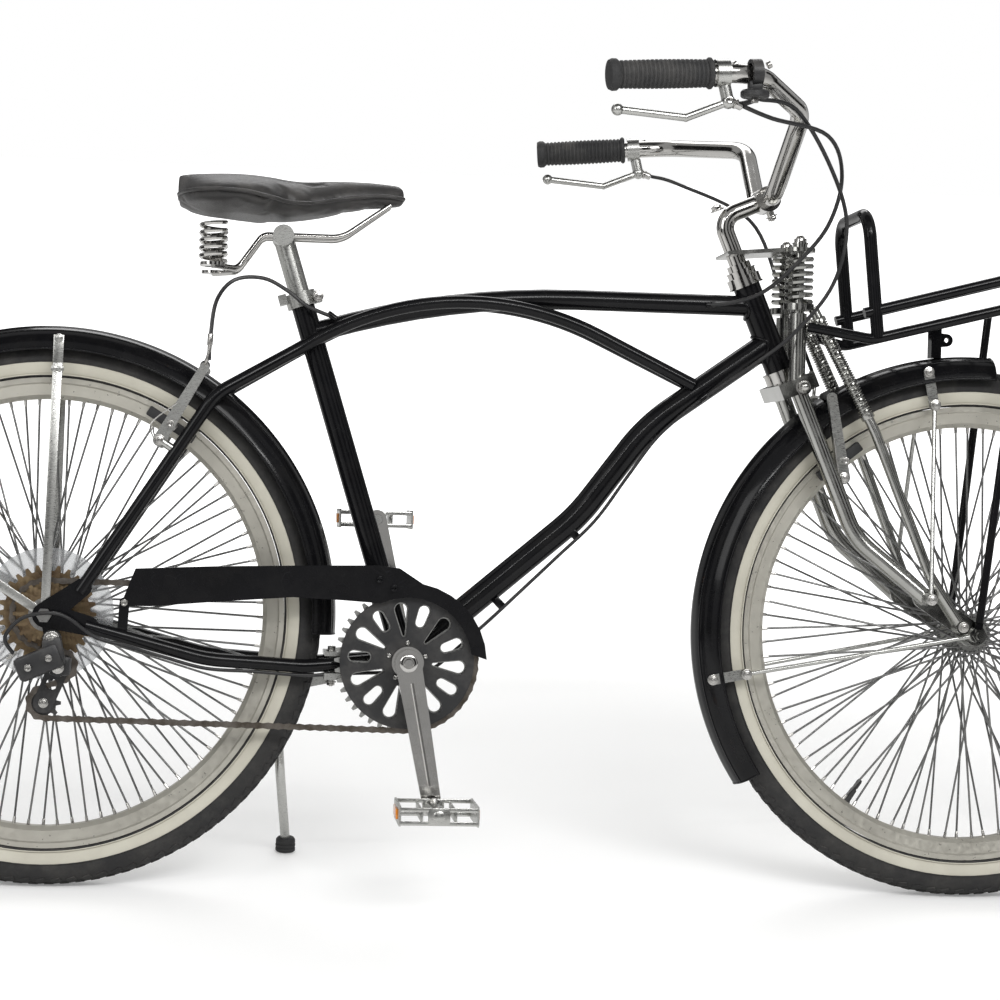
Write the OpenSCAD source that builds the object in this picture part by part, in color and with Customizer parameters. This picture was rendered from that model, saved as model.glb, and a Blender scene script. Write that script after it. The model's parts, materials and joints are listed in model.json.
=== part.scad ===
// Beach cruiser bicycle with a dual-spring fork, parked on its side stand.
// Millimetres. The bicycle is drawn upright with the rear axle at the origin,
// +X forward, +Y to its left, +Z up, and parked() then leans and places it.

/* [Wheels] */
// Distance between the axles
wheelbase = 1148; // [1050:1:1200]
// Outer radius of both tyres
tyre_r = 333; // [320:1:345]
// Radius of the tyre's round section
tyre_sec = 27; // [22:0.5:32]
// Outer radius of the rim where the tyre sits
rim_r = 287; // [280:1:292]
// Inner radius of the rim, where the spokes enter
rim_in = 261; // [255:1:268]
// Width of the rim
rim_w = 36; // [28:1:42]
// Spokes in each wheel
spokes = 92; // [36:4:144]
// Spoke radius
spoke_r = 1.1; // [0.9:0.1:1.6]

/* [Frame] */
// Head tube angle from the ground
head_angle = 67; // [64:0.5:74]
// Head tube length
head_len = 116; // [90:1:150]
// Head tube radius
head_r = 17; // [15:0.5:20]
// Bottom bracket ahead of the rear axle
bb_x = 437; // [420:1:460]
// Bottom bracket below the axles
bb_drop = 48; // [30:1:60]
// Down tube radius
down_r = 15.9; // [12:0.1:18]
// Top tube radius
top_r = 12.7; // [11:0.1:16]
// Seat tube radius
seat_r = 14.3; // [13:0.1:16]
// Radius of the arched twin tubes that carry on from the seat stays
twin_r = 8; // [6:0.5:10]
// Chain stay radius
stay_r = 8.5; // [7:0.5:9]
// Gap between the rear dropouts
rear_gap = 130; // [120:1:135]
// Gap between the fork's rockers
front_gap = 104; // [96:1:110]

/* [Drive] */
// Crank length
crank_len = 175; // [165:1:180]
// Right crank's angle ahead of straight down
crank_turn = 11; // [0:1:360]
// Chainring teeth
ring_teeth = 42; // [36:2:48]
// Chain pitch
chain_pitch = 12.7; // [12.7]
// Chain line to the right of the middle plane
chain_y = 47; // [42:0.5:52]

/* [Parking] */
// Lean to the left on the side stand
lean = 9; // [5:0.5:14]
// Side stand foot, forward of the rear axle
foot_x = 300; // [280:1:330]
// Side stand foot, to the left of the middle plane
foot_y = 150; // [120:1:200]

/* [Cockpit] */
// Height of the saddle's top above the axles
saddle_h = 545; // [480:1:620]
// Height of the grips above the axles
grip_h = 640; // [560:1:720]
// Half the handlebar's width
bar_half = 335; // [300:1:370]

/* [Fenders] */
// Gap between the tyre and the fender's inside
fender_gap = 15.6; // [8:0.2:24]
// Radius of the fender's section
fender_sec = 41; // [36:1:46]

/* [Hidden] */
$fn = 48;
skin = 0.06;
tuck = 0.8;
run_fit = 0.05;
fender_skin = 1.4;

// parked pose
core_r = tyre_r - tyre_sec;
axle_h = core_r * cos(lean) + tyre_sec;
mid_x = 565;
mid_y = 97;
foot_z = (foot_y * sin(lean) - axle_h) / cos(lean);

// steering axis: a point on it and its direction, up and back
steer_at = [879, 0, 377];
steer_up = [-cos(head_angle), 0, sin(head_angle)];
head_top = steer_at + steer_up * head_len / 2;
head_low = steer_at - steer_up * head_len / 2;
bb = [bb_x, 0, -bb_drop];
front_axle = [wheelbase, 0, 0];
seat_top = [296, 0, 398];
ring_r = chain_pitch / 2 / sin(180 / ring_teeth);
fender_r = tyre_r + fender_gap + fender_skin;
fender_edge = 21;
fender_edge_y = sqrt(pow(fender_sec, 2) - pow(fender_edge, 2));
pivot = [1080, 0, 45];
stand_pivot = [280, 50, -88];
stand_axis = unit([-0.035, 0.998, 0.042]);
steer_front = [sin(head_angle), 0, cos(head_angle)];
bar_r = 11.1;
axle_r = 5;

function unit(v) = v / norm(v);
function steer(t) = steer_at + steer_up * t;
function side(p, y) = [p[0], y, p[2]];
function flat(p) = [p[0], p[2]];
function polar(c, r, a, y) = [c[0] + r * cos(a), y, c[2] + r * sin(a)];
function bend_cut(p, q, s, rb) =
  rb * tan(acos(min(1, unit(q - p) * unit(s - q))) / 2);

module parked()
  translate([-mid_x, -mid_y, axle_h]) rotate([-lean, 0, 0]) children();

module at_front() translate(front_axle) children();

// straight round bar between two points
module rod(a, b, r) {
  d = b - a;
  translate(a) rotate([0, acos(d[2] / norm(d)), atan2(d[1], d[0])])
    cylinder(h = norm(d), r = r);
}

// round bar across the bicycle, from y0 to y1
module cross_rod(p, y0, y1, r, n = $fn) translate([p[0], y1, p[2]]) rotate([90, 0, 0])
  cylinder(h = y1 - y0, r = r, $fn = n);

// piece of a bent bar, with its bend at q; it is a hair thicker than the
// straight bars, which run a little way into it, so that no faces coincide
module elbow(p, q, s, rb, r) {
  u = unit(q - p);
  v = unit(s - q);
  n = unit(cross(u, v));
  a = q - u * bend_cut(p, q, s, rb);
  c = a + cross(n, u) * rb;
  x = unit(a - c);
  multmatrix([[x[0], u[0], n[0], c[0]], [x[1], u[1], n[1], c[1]],
    [x[2], u[2], n[2], c[2]], [0, 0, 0, 1]])
    rotate_extrude(angle = acos(u * v)) translate([rb, 0]) circle(r = r + skin);
}

// bent round bar through points, with one bend radius for each inner point
module pipe(pts, bends, r) {
  last = len(pts) - 1;
  cuts = [for (i = [0 : last]) i == 0 || i == last ? 0
    : bend_cut(pts[i - 1], pts[i], pts[i + 1], bends[i - 1]) - tuck];
  for (i = [0 : last - 1]) {
    u = unit(pts[i + 1] - pts[i]);
    rod(pts[i] + u * cuts[i], pts[i + 1] - u * cuts[i + 1], r);
  }
  for (i = [1 : 1 : last - 1]) elbow(pts[i - 1], pts[i], pts[i + 1], bends[i - 1], r);
}

module both_sides() {
  children();
  mirror([0, 1, 0]) children();
}

// plate parallel to the middle plane, from y0 to y1, drawn in X and Z
module slab(y0, y1) translate([0, y1, 0]) rotate([90, 0, 0]) linear_extrude(y1 - y0) children();

// link outline between two round ends in X and Z
module link2d(a, b, ra, rb) hull() {
  translate(a) circle(r = ra);
  translate(b) circle(r = rb);
}

// Frame tubes

top_pts = [[302, 0, 347], [640, 0, 405.5], [900, 0, 405.5]];
down_pts = [[890, 0, 362], [735, 0, 250], [650, 0, 135], [bb_x, 0, -bb_drop]];

module steer_tube(t0, t1, r) rod(steer(t0), steer(t1), r);
module head_solid() steer_tube(-head_len / 2, head_len / 2, head_r);
module seat_solid() rod(bb, seat_top, seat_r);
module bb_solid() cross_rod(bb, -35, 35, 20);
module down_solid() pipe(down_pts, [240, 240], down_r);

module head_tube() difference() {
  head_solid();
  steer_tube(-head_len, head_len, head_r - 2.5);
}

module top_tube() difference() {
  top_arc();
  head_solid();
  seat_solid();
}

// the top tube rises in one long arc and runs level into the head tube
module top_arc() {
  rise = 1041;
  a = 18.3;
  translate([640, 0, 405.5 - rise]) rotate([90, 0, 0]) rotate([0, 0, 90])
    rotate_extrude(angle = a) translate([rise, 0]) circle(r = top_r);
  rod([640, 0, 405.5], [872, 0, 405.5], top_r);
}

module down_tube() difference() {
  down_solid();
  head_solid();
  bb_solid();
}

module seat_tube() difference() {
  seat_solid();
  bb_solid();
  rod(down_pts[2], down_pts[3], down_r);
}

spindle_r = 8.5;
module bb_shell() difference() {
  bb_solid();
  cross_rod(bb, -36, 36, spindle_r + run_fit);
}

twin_pts = [[40, -66, 28], [196, -47, 272], [300, -22.9, 334], [487.5, -25, 446.2],
  [790, -12, 303]];

module twin_one() difference() {
  pipe(twin_pts, [70, 80, 375], twin_r);
  rod(down_pts[0], down_pts[1], down_r);
}

module twin_tubes() both_sides() twin_one();

stay_pts = [[48, -66, -12], [193, -53, -50], [312, -40, -57], [352, -31.5, -54], [430, -24, -46]];

module chain_stays() both_sides() difference() {
  pipe(stay_pts, [200, 100, 100], stay_r);
  bb_solid();
}

// the plate's arms are slotted round the ends of the stays
module dropout_plate() difference() {
  slab(-rear_gap / 2 - 5, -rear_gap / 2) {
    link2d([0, 0], [44, 34], 15, 11);
    link2d([0, 0], [52, -12], 15, 12);
  }
  cross_rod([0, 0, 0], -80, -60, axle_r);
  rod(twin_pts[0], twin_pts[1], twin_r);
  rod(stay_pts[0], stay_pts[1], stay_r);
}

module dropouts() {
  both_sides() dropout_plate();
  difference() {
    slab(-rear_gap / 2 - 5, -rear_gap / 2) link2d([6, -12], [10, -28], 9, 9);
    cross_rod([0, 0, 0], -80, -60, 14.9);
  }
}

module nut(p, y0, y1, r) translate([p[0], y1, p[2]]) rotate([90, 0, 0])
  cylinder(h = y1 - y0, r = r, $fn = 6);

// axle with its locknuts inside the dropouts and its outer nuts; the left end
// stands out of its nut
drop_out = rear_gap / 2 + 5;
stub = 12;
module rear_axle() {
  cross_rod([0, 0, 0], -drop_out - 18, drop_out + 16 + stub, axle_r);
  for (y = [-drop_out - 16, drop_out + 8.1]) nut([0, 0, 0], y, y + 7.9, 9);
  cross_rod([0, 0, 0], -rear_gap / 2, -rear_gap / 2 + 3.8, 9);
  cross_rod([0, 0, 0], 42, rear_gap / 2, 9);
}

// Seat

// saddle, its rails and its clamp follow the post's top
seat_dir = unit(seat_top - bb);
rail_z = saddle_h - 75;
clamp_at = seat_top + seat_dir * (rail_z - seat_top[2]) / seat_dir[2];
function by_saddle(x, y, z) = [clamp_at[0] + x, y, saddle_h + z];
rail_pts = [by_saddle(-85, -60, -118), by_saddle(-55, -26, -118), by_saddle(-25, -21, -75),
  by_saddle(72, -21, -75), by_saddle(131, -10, -32)];

module rail_bar() pipe(rail_pts, [14, 14, 40], 3.5);

module seat_post() {
  difference() {
    union() {
      rod(seat_top, clamp_at, 12.7);
      cross_rod(clamp_at, -28, 28, 13);
    }
    both_sides() rod(rail_pts[2], rail_pts[3], 3.5);
  }
  difference() {
    union() {
      rod(seat_top - seat_dir * 14, seat_top + seat_dir * 4, 19);
      slab(-9, 9) translate([314, 397]) rotate(17) square([16, 15], center = true);
      slab(-9, 9) translate([275, 392]) rotate(17) square([10, 13], center = true);
    }
    seat_solid();
    slab(-1.2, 1.2) translate([316, 397]) rotate(17) square([26, 40], center = true);
    rod(seat_top, clamp_at, 12.7);
  }
  cross_rod([318, 0, 398], -14, 14, 4);
}

// wide sprung saddle, with the nose in front
module saddle() hull() {
  translate(by_saddle(-68, 0, -33)) scale([62, 112, 33]) sphere(r = 1, $fn = 32);
  translate(by_saddle(40, 0, -29)) scale([60, 46, 26]) sphere(r = 1, $fn = 24);
  translate(by_saddle(122, 0, -21)) scale([28, 26, 17]) sphere(r = 1, $fn = 24);
}

module saddle_springs() both_sides() {
  rail_bar();
  rod(rail_pts[0] - [0, 0, 0.2], rail_pts[0] + [0, 0, 3.6], 15);
  coil(rail_pts[0] + [0, 0, 6.1], 46.4, 15, 2.6, 5);
}

// coil spring as one swept polyhedron, standing on p
module coil(p, h, r, wire, turns) {
  steps = round(turns * 14);
  sides = 6;
  pts = [for (i = [0 : steps]) let (a = 360 * turns * i / steps)
    for (k = [0 : sides - 1]) let (b = 360 * k / sides, q = r + wire * cos(b))
      [q * cos(a), q * sin(a), h * i / steps + wire * sin(b)]];
  faces = [[for (k = [sides - 1 : -1 : 0]) k],
    [for (k = [0 : sides - 1]) steps * sides + k],
    for (i = [0 : steps - 1]) for (k = [0 : sides - 1]) let (n = (k + 1) % sides)
      [i * sides + k, i * sides + n, (i + 1) * sides + n, (i + 1) * sides + k]];
  translate(p) polyhedron(points = pts, faces = faces);
}

// Chain guard, chain, derailleur

guard_y = -66;
guard_out_r = 97;
guard_in_r = 79;
function around_bb(r, a) = [bb[0] + r * cos(a), bb[2] + r * sin(a)];
guard_low = [[350, 26], [296, 28], [200, 20], [125, 13], [89, 13]];
guard_top = [[106, 58], [200, 63], [320, 67], [400, 69], [425, 66]];

function guard_outline(g) = concat([for (a = [80 : -11 : 3]) around_bb(guard_out_r - g, a)],
  [for (a = [8 : 12 : 116]) around_bb(guard_in_r, a)], guard_low,
  [for (p = guard_top) p - [0, g]]);

// hockey-stick cover: a plate with a folded rim along its top and round its
// nose, held by a rod from the seat tube and a strap on the chain stay
module chain_guard() {
  slab(guard_y, guard_y + 2) polygon(guard_outline(0));
  slab(guard_y + 1.9, guard_y + 9) difference() {
    polygon(guard_outline(0));
    polygon(guard_outline(2.4));
    translate([0, -60]) square([360, 112]);
  }
  difference() {
    union() {
      cross_rod([400, 0, 52], guard_y + 1, -8, 4);
      slab(guard_y + 1, guard_y + 3.6) link2d([94, 17], [92, -20], 6, 6);
      cross_rod([94, 0, 17], guard_y - 2.5, guard_y + 1, 5);
    }
    seat_solid();
    rod(stay_pts[0], stay_pts[1], stay_r);
  }
}

cog_teeth = [28, 24, 22, 20, 18, 16, 14];
cog_step = 4.6;
function pitch_radius(teeth) = chain_pitch / 2 / sin(180 / teeth);
jockey_teeth = 9;
jockey_r = pitch_radius(jockey_teeth);
guide_at = [18, -62];
tension_at = [0, -107];

// the chain's way round its wheels: [centre, pitch radius, turning sense]
run = [[[bb[0], bb[2]], ring_r, 1], [[0, 0], pitch_radius(cog_teeth[3]), 1],
  [guide_at, jockey_r, -1], [tension_at, jockey_r, 1]];

// heading of the straight run from wheel i to the next, its band g out
function heading(i, g) = let (a = run[i], b = run[(i + 1) % 4], d = b[0] - a[0])
  atan2(d[1], d[0]) - asin((b[2] * (b[1] + b[2] * g) - a[2] * (a[1] + a[2] * g)) / norm(d));
function arc_pts(i, g) = let (w = run[i], from = heading((i + 3) % 4, g), to = heading(i, g),
  sweep = w[2] > 0 ? (to - from + 720) % 360 : -((from - to + 720) % 360),
  steps = max(3, ceil(abs(sweep) / 15)))
  [for (k = [0 : steps]) let (a = from + sweep * k / steps - 90 * w[2])
    w[0] + (w[1] + w[2] * g) * [cos(a), sin(a)]];
module band(g) polygon([for (i = [0 : 3]) each arc_pts(i, g)]);

// side plates as a band on both sides of the sprockets, with the rollers of
// the two long runs between them
module chain() {
  for (y = [-chain_y - 3.2, -chain_y + 1.8]) slab(y, y + 1.4) difference() {
    band(4);
    band(-4);
  }
  for (i = [0, 3]) {
    from = arc_pts(i, 0);
    to = arc_pts((i + 1) % 4, 0)[0];
    start = from[len(from) - 1];
    d = to - start;
    for (k = [3 : floor(norm(d) / chain_pitch) - 3]) {
      p = start + d * k * chain_pitch / norm(d);
      cross_rod([p[0], 0, p[1]], -chain_y - 1.9, -chain_y + 1.9, 3.6, 8);
    }
  }
}

// parallelogram body on the hanger, a two-plate cage and toothed jockey wheels
module derailleur() {
  cross_rod([10, 0, -28], -84, -drop_out - 0.05, 11);
  slab(-83, -74) link2d([10, -28], guide_at, 9, 11);
  cross_rod([guide_at[0], 0, guide_at[1]], -83, -52, 10);
  for (y = [-52.6, -42.8]) slab(y, y + 1.3) difference() {
    link2d(guide_at, tension_at, 13, 12);
    translate((guide_at + tension_at) / 2) circle(r = 7);
  }
  for (c = [guide_at, tension_at]) {
    cross_rod([c[0], 0, c[1]], -52, -42, 3);
    slab(-chain_y - 1, -chain_y + 1) difference() {
      translate(c) sprocket2d(jockey_teeth, jockey_r + 2.2, jockey_r - 3.6);
      translate(c) circle(r = 2.9);
    }
  }
}

// Fenders

module fender_sec2d() difference() {
  circle(r = fender_sec);
  circle(r = fender_sec - fender_skin);
  translate([-2 * fender_sec, -2 * fender_sec])
    square([2 * fender_sec + fender_edge, 4 * fender_sec]);
}

module fender(a0, a1) rotate([90, 0, 0]) rotate([0, 0, a0]) rotate_extrude(angle = a1 - a0)
  translate([fender_r - fender_sec, 0]) fender_sec2d();

module rear_fender() fender(-3, 198);

// round stay from a strap riveted to the fender's side down to its foot, the
// last part straight beside the wheel
module fender_stay(c, a, foot, straight, r) {
  y = fender_edge_y + 0.4;
  high = polar(c, fender_r - 16, a, 0);
  low = polar(c, fender_r - 58, a, 0);
  bend = polar(c, straight, a, foot[1]);
  slab(-y - 2, -y) link2d(flat(high), flat(low), 6.5, 6.5);
  cross_rod(high, -y - 3, -sqrt(pow(fender_sec, 2) - pow(fender_sec - 19, 2)) + 0.1, 3);
  cross_rod(low, -y - 4 - r, -y + 1, 4.5);
  rod(side(low, -y - 1 - r), bend, r);
  translate(bend) sphere(r = r + 0.03, $fn = 20);
  rod(bend, foot, r);
}

module eye(c, y0, y1, r) difference() {
  cross_rod(c, y0, y1, r);
  cross_rod(c, -120, 120, axle_r);
}

module rear_fender_stays() both_sides() {
  difference() {
    union() {
      for (a = [89, 148]) fender_stay([0, 0, 0], a, polar([0, 0, 0], 5, a, -drop_out - 4.1), 60,
        a < 90 ? 4 : 2.6);
      cross_rod([0, 0, 0], -drop_out - 8.05, -drop_out - 0.05, 10);
    }
    cross_rod([0, 0, 0], -120, 120, axle_r);
    cross_rod([0, 0, 0], -drop_out, 0, 16);
  }
}

// linear-pull brake: arms on bosses, pads at the rim and a wire between the
// arms' tops; o is the wheel's centre, p the pivot, q the arm's top
brake_r = 274;
module brake_arm(o, p, q, pad_a, y) {
  slab(-y - 9, -y) link2d(flat(p), flat(q), 8, 5.5);
  pad = polar(o, brake_r, pad_a, 0);
  cross_rod(pad, -y - 13, -30, 4);
  slab(-31, -rim_w / 2 - 2) translate(flat(pad)) rotate(pad_a + 90) square([64, 11], center = true);
}

rear_boss = [130, 0, 214];
rear_arm_top = [182, 0, 304];
module rear_brake() {
  both_sides() {
    brake_arm([0, 0, 0], rear_boss, rear_arm_top, 58.5, 46);
    difference() {
      rod(side(rear_boss, -52), [150.6, -52.5, 201], 5);
      rod(twin_pts[0], twin_pts[1], twin_r);
    }
  }
  cross_rod(rear_arm_top + [0, 0, 3], -52, 52, 1.5);
}

// Stand

module stand_pin(r, t0, t1) rod(stand_pivot + stand_axis * t0, stand_pivot + stand_axis * t1, r);

// two plates clamped round the chain stays by a bolt, with an arm to the pivot
module stand_bracket() difference() {
  union() {
    translate([337, -40, -73.2]) cube([21, 88, 8]);
    translate([337, -34, -44.4]) cube([21, 68, 5]);
    translate([347, 0, -78]) cylinder(h = 44, r = 5);
    slab(38, 50) link2d([347, -76], [280, -88], 6.5, 9);
    stand_pin(4, -10, 16.8);
  }
  both_sides() pipe(stay_pts, [200, 100, 100], stay_r);
}

stand_knee = [289, 64, -200];

// bent leg with its eye on the pivot and a rubber foot on the floor
module stand_leg() {
  parked() difference() {
    union() {
      pipe([stand_pivot + stand_axis * 9, stand_knee, [foot_x, foot_y, foot_z + 12]], [40], 6);
      stand_pin(9, 0.5, 16.5);
    }
    stand_pin(4 + run_fit, -20, 40);
  }
  translate([foot_x - mid_x, foot_y * cos(lean) + foot_z * sin(lean) - mid_y, 0])
    cylinder(h = 16, r = 11);
}

// Control cables: round tubes along smooth curves through a few points

function curve(p, n) = [for (i = [0 : len(p) - 2]) let (a = p[max(i - 1, 0)], b = p[i],
  c = p[i + 1], d = p[min(i + 2, len(p) - 1)])
  for (k = [0 : (i == len(p) - 2 ? n : n - 1)]) let (t = k / n)
    0.5 * (2 * b + (c - a) * t + (2 * a - 5 * b + 4 * c - d) * t * t
      + (3 * b - a - 3 * c + d) * t * t * t)];

cable_r = 2.5;
module cable(p, up) {
  path = curve(p, 6);
  last = len(path) - 1;
  pts = [for (i = [0 : last]) let (u = unit(path[min(i + 1, last)] - path[max(i - 1, 0)]),
      s = unit(cross(u, up)), t = cross(u, s))
    for (k = [0 : 7]) path[i] + (s * cos(45 * k) + t * sin(45 * k)) * cable_r];
  faces = [[for (k = [0 : 7]) k], [for (k = [7 : -1 : 0]) 8 * last + k],
    for (i = [0 : last - 1]) for (k = [0 : 7]) let (n = (k + 1) % 8)
      [8 * i + n, 8 * i + k, 8 * i + 8 + k, 8 * i + 8 + n]];
  polyhedron(points = pts, faces = faces);
}

rear_cable_pts = [[187, -60, 312], [188, -58, 340], [194, -48, 385], [215, -36, 412], [250, -29, 416],
  [280, -26, 402], [305, -25, 384], [340, -19.5, 371]];
module rear_cables() cable(rear_cable_pts, [0, 1, 0.3]);

// Fork

quill_t = 84;
bar_clamp = steer(150) + steer_front * 62;

module stem() difference() {
  union() {
    steer_tube(-90, quill_t, 12.6);
    steer_tube(quill_t - 4, quill_t + 4, 15);
    pipe([steer(quill_t), steer(150), bar_clamp], [22], bar_r);
    cross_rod(bar_clamp, -21, 21, 16);
    rod(bar_clamp - steer_up * 21, bar_clamp - steer_up * 12, 5);
  }
  cross_rod(bar_clamp, -40, 40, bar_r + run_fit);
}

// cups above and below the head tube, with a locknut on top
module headset() for (c = [[head_len / 2, 12, 21], [head_len / 2 + 12, 8, 18],
    [-head_len / 2 - 12, 12, 21]]) difference() {
  steer_tube(c[0], c[0] + c[1], c[2]);
  steer_tube(-200, 200, 12.6 + run_fit);
}

blade_pts = [[915, -50, 300], [990, -56, 118], [1080, -72, 44]];
spring_x = 915;
seat_low = 399;
seat_high = 471.5;

// crown, both main blades, and the uprights that carry on through the springs
// to a top plate round the stem
module fork_blades() {
  both_sides() {
    pipe(blade_pts, [90], 10.5);
    rod([spring_x, -40, 300], [spring_x, -40, seat_low - 4], 10.5);
    rod([spring_x, -40, seat_low - 6], [spring_x, -40, seat_high + 14], 6);
    rod([spring_x, -40, seat_high], [spring_x, -40, seat_high + 5], 19);
    rod([spring_x, -40, seat_high + 4], [spring_x, -40, seat_high + 11], 9);
    cross_rod(pivot, -88, -57.05, 9);
    cross_rod(pivot, -60, -49, axle_r);
    cross_rod(pivot, -51.9, -48.5, 8.5);
  }
  difference() {
    union() {
      slab(-60, 60) translate(flat(steer(-81) + steer_front * 4)) rotate(90 - head_angle)
        square([48, 19], center = true);
      steer_tube(-92, -71.5, 19);
    }
    steer_tube(-200, 200, 12.6);
  }
  difference() {
    slab(-40, 40) hull() {
      translate([spring_x + 3, seat_high + 5]) circle(r = 2.5, $fn = 8);
      translate([826, seat_high - 3.5]) circle(r = 2.5, $fn = 8);
    }
    steer_tube(-200, 200, bar_r);
  }
  both_sides() rod([957, -52.8, 200], side(front_boss, -52), 5);
}

module fork_springs() both_sides()
  coil([spring_x, -40, seat_low + 11.4], seat_high - seat_low - 14.79, 15, 3.4, 6.5);

leg_pts = [[933, -40, 403], [1013, -56, 250], [1086, -64, 70], [1128, -64, 10]];
leg_foot = leg_pts[3];

// thin front legs, from the springs' lower seats to the rockers
module fork_legs() both_sides() difference() {
  union() {
    pipe(leg_pts, [200, 60], 6.5);
    rod([spring_x, -40, seat_low], [spring_x, -40, seat_low + 8], 19);
    cross_rod(leg_foot, -71, -57.05, 8.5);
    cross_rod(leg_foot, -60, -49, 4);
  }
  rod([spring_x, -40, 380], [spring_x, -40, 430], 6.4);
}

// rocking links at the bottom of the fork, with the axle between them
module fork_rockers() {
  both_sides() difference() {
    slab(-57, -52) link2d([pivot[0], pivot[2]], flat(front_axle), 13, 13);
    cross_rod(front_axle, -80, 80, axle_r - run_fit);
    cross_rod(pivot, -80, 80, axle_r);
    cross_rod(leg_foot, -80, 80, 4);
  }
  cross_rod(front_axle, -80, 80, axle_r - run_fit);
  for (y = [-77, 69.1]) nut(front_axle, y, y + 7.9, 9);
  for (y = [-52, 41]) cross_rod(front_axle, y, y + 11, 8);
}

// swept-back cruiser handlebar
bar_end = [630, -bar_half, grip_h - 8];
bar_bend = [800, -bar_half + 20, grip_h + 5];
bar_back = unit(bar_end - bar_bend);
module handlebar() both_sides() pipe([bar_clamp, bar_clamp + [0, -50, 0],
  [885, -bar_half / 2, grip_h - 15], bar_bend, bar_end], [40, 70, 70], bar_r);

grip_len = 116;
module grips() both_sides() difference() {
  rod(bar_end - bar_back * grip_len, bar_end + bar_back * 5, 16);
  rod(bar_end - bar_back * (grip_len + 1), bar_end, bar_r);
}

// clamp ring, hanging bracket and a blade with a ball end under the grip
lever_at = bar_end - bar_back * (grip_len + 12);
lever_knee = lever_at + [8, 0, -32];
module brake_levers() both_sides() {
  difference() {
    rod(lever_at - bar_back * 8, lever_at + bar_back * 8, 15.5);
    rod(bar_end - bar_back * 141, bar_end, bar_r);
  }
  rod(lever_at + [3.5, 0, -14], lever_knee, 7);
  translate(lever_knee) sphere(r = 8.2);
  rod(lever_knee, lever_at + [-40, 0, -52], 4.6);
  translate(lever_at + [-40, 0, -52]) sphere(r = 4.8);
  rod(lever_at + [-40, 0, -52], lever_at + [-118, 0, -46], 4.5);
  translate(lever_at + [-118, 0, -46]) sphere(r = 7);
}

front_boss = [975, 0, 192];
front_arm_top = [958, 0, 292];
module front_brake() difference() {
  union() {
    both_sides() brake_arm(front_axle, front_boss, front_arm_top, 129, 46);
    cross_rod(front_arm_top + [0, 0, 3], -52, 52, 1.5);
  }
  both_sides() {
    pipe(blade_pts, [90], 10.6);
    rod([957, -52.8, 200], side(front_boss, -52), 5);
  }
}

module front_fender() at_front() fender(86, 214);

// like fender_stay, but straight to a foot that isn't the wheel's axle
module front_strap(a, foot, r) {
  y = fender_edge_y + 0.4;
  high = polar(front_axle, fender_r - 16, a, 0);
  low = polar(front_axle, fender_r - 58, a, 0);
  slab(-y - 2, -y) link2d(flat(high), flat(low), 6.5, 6.5);
  cross_rod(high, -y - 3, -sqrt(pow(fender_sec, 2) - pow(fender_sec - 19, 2)) + 0.1, 3);
  cross_rod(low, -y - 4 - r, -y + 1, 4.5);
  rod(side(low, -y - 1 - r), foot, r);
}

module front_fender_stays() both_sides() {
  difference() {
    union() {
      fender_stay(front_axle, 191, polar(front_axle, 5, 191, -60.1), 60, 2.8);
      cross_rod(front_axle, -63, -57.05, 9);
    }
    cross_rod(front_axle, -120, 120, axle_r - run_fit);
    cross_rod(front_axle, -57.02, 0, 20);
    cross_rod(front_axle, -90, -63.05, 16);
  }
  difference() {
    union() {
      front_strap(101, side(pivot, -92), 2.8);
      cross_rod(pivot, -96, -86, 7);
    }
    cross_rod(pivot, -88, -57, 9);
  }
}

// front rack: two side frames of round bar, joined round the front and by
// cross bars, with a hoop at the back, a strap down to the fender and legs
rail_low = [[929, -40, 379], [1002, -75, 364], [1300, -75, 441.5], [1300, 0, 441.5]];
rail_high = [[990, -75, 396], [1308, -75, 481], [1308, 0, 481]];
rail_slope = (481 - 396) / (1308 - 990);
function high_z(x) = 396 + (x - 990) * rail_slope;
rack_bar = 6.5;
tab_hole = [1116, 0, 371];
strap_low = sqrt(pow(fender_r, 2) - pow(front_axle[0] - 1107.5, 2)) + 0.05;
module front_rack() difference() {
  union() {
    both_sides() {
      pipe(rail_low, [25, 30], rack_bar);
      pipe(rail_high, [30], rack_bar);
      pipe([[1008, -75, 366], [992, -75, 520], [992, 0, 520]], [30], 8);
      rod([1270, -75, 434], [1270, -75, 471], 5);
      rod(side(front_axle, -66), [1192, -72, 412], 5);
      cross_rod(front_axle, -69, -63.1, 9);
    }
    for (x = [1045 : 43 : 1260]) cross_rod([x, 0, high_z(x)], -75, 75, 4, 24);
    cross_rod([1101, 0, 390], -75, 75, 5);
    translate([1094.5, -9, strap_low]) cube([13, 18, 390 - strap_low]);
    slab(-2.5, 2.5) link2d([1106, 371], flat(tab_hole), 9, 8);
  }
  cross_rod(front_axle, -120, 120, axle_r - run_fit);
  cross_rod(tab_hole, -20, 20, 3);
  both_sides() {
    rod(leg_pts[0], leg_pts[1], 6.5);
    rod([spring_x, -40, 300], [spring_x, -40, 395], 10.5);
    cross_rod(front_axle, -90, -69.02, 16);
    cross_rod(front_axle, -63.05, -40, 16);
  }
}

left_cable_pts = [lever_at + [14, -10, -34], lever_at + [60, -20, -50], [905, -230, 540],
  [925, -120, 440], [945, -75, 360], [962, -60, 308]];
top_cable_pts = [lever_at + [16, 4, -40], [900, -210, 590], [958, -110, 560], [945, -86, 500],
  [908, -78, 450], [884, -52, 424], [878, -34, 400]];
module front_cables() {
  mirror([0, 1, 0]) cable(left_cable_pts, [0.2, 0, 1]);
  cable(top_cable_pts, [0.2, 0.5, 1]);
}

// Wheels

module turn() rotate([90, 0, 0]) rotate_extrude() children();

module tyre() turn() difference() {
  polygon(concat([for (i = [0 : 10]) let (a = -128 + i * 25.6)
    [core_r + tyre_sec * cos(a), tyre_sec * sin(a)]]));
  square([rim_r, 200], center = true);
  translate([0, -100]) square([rim_r, 200]);
}

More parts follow.
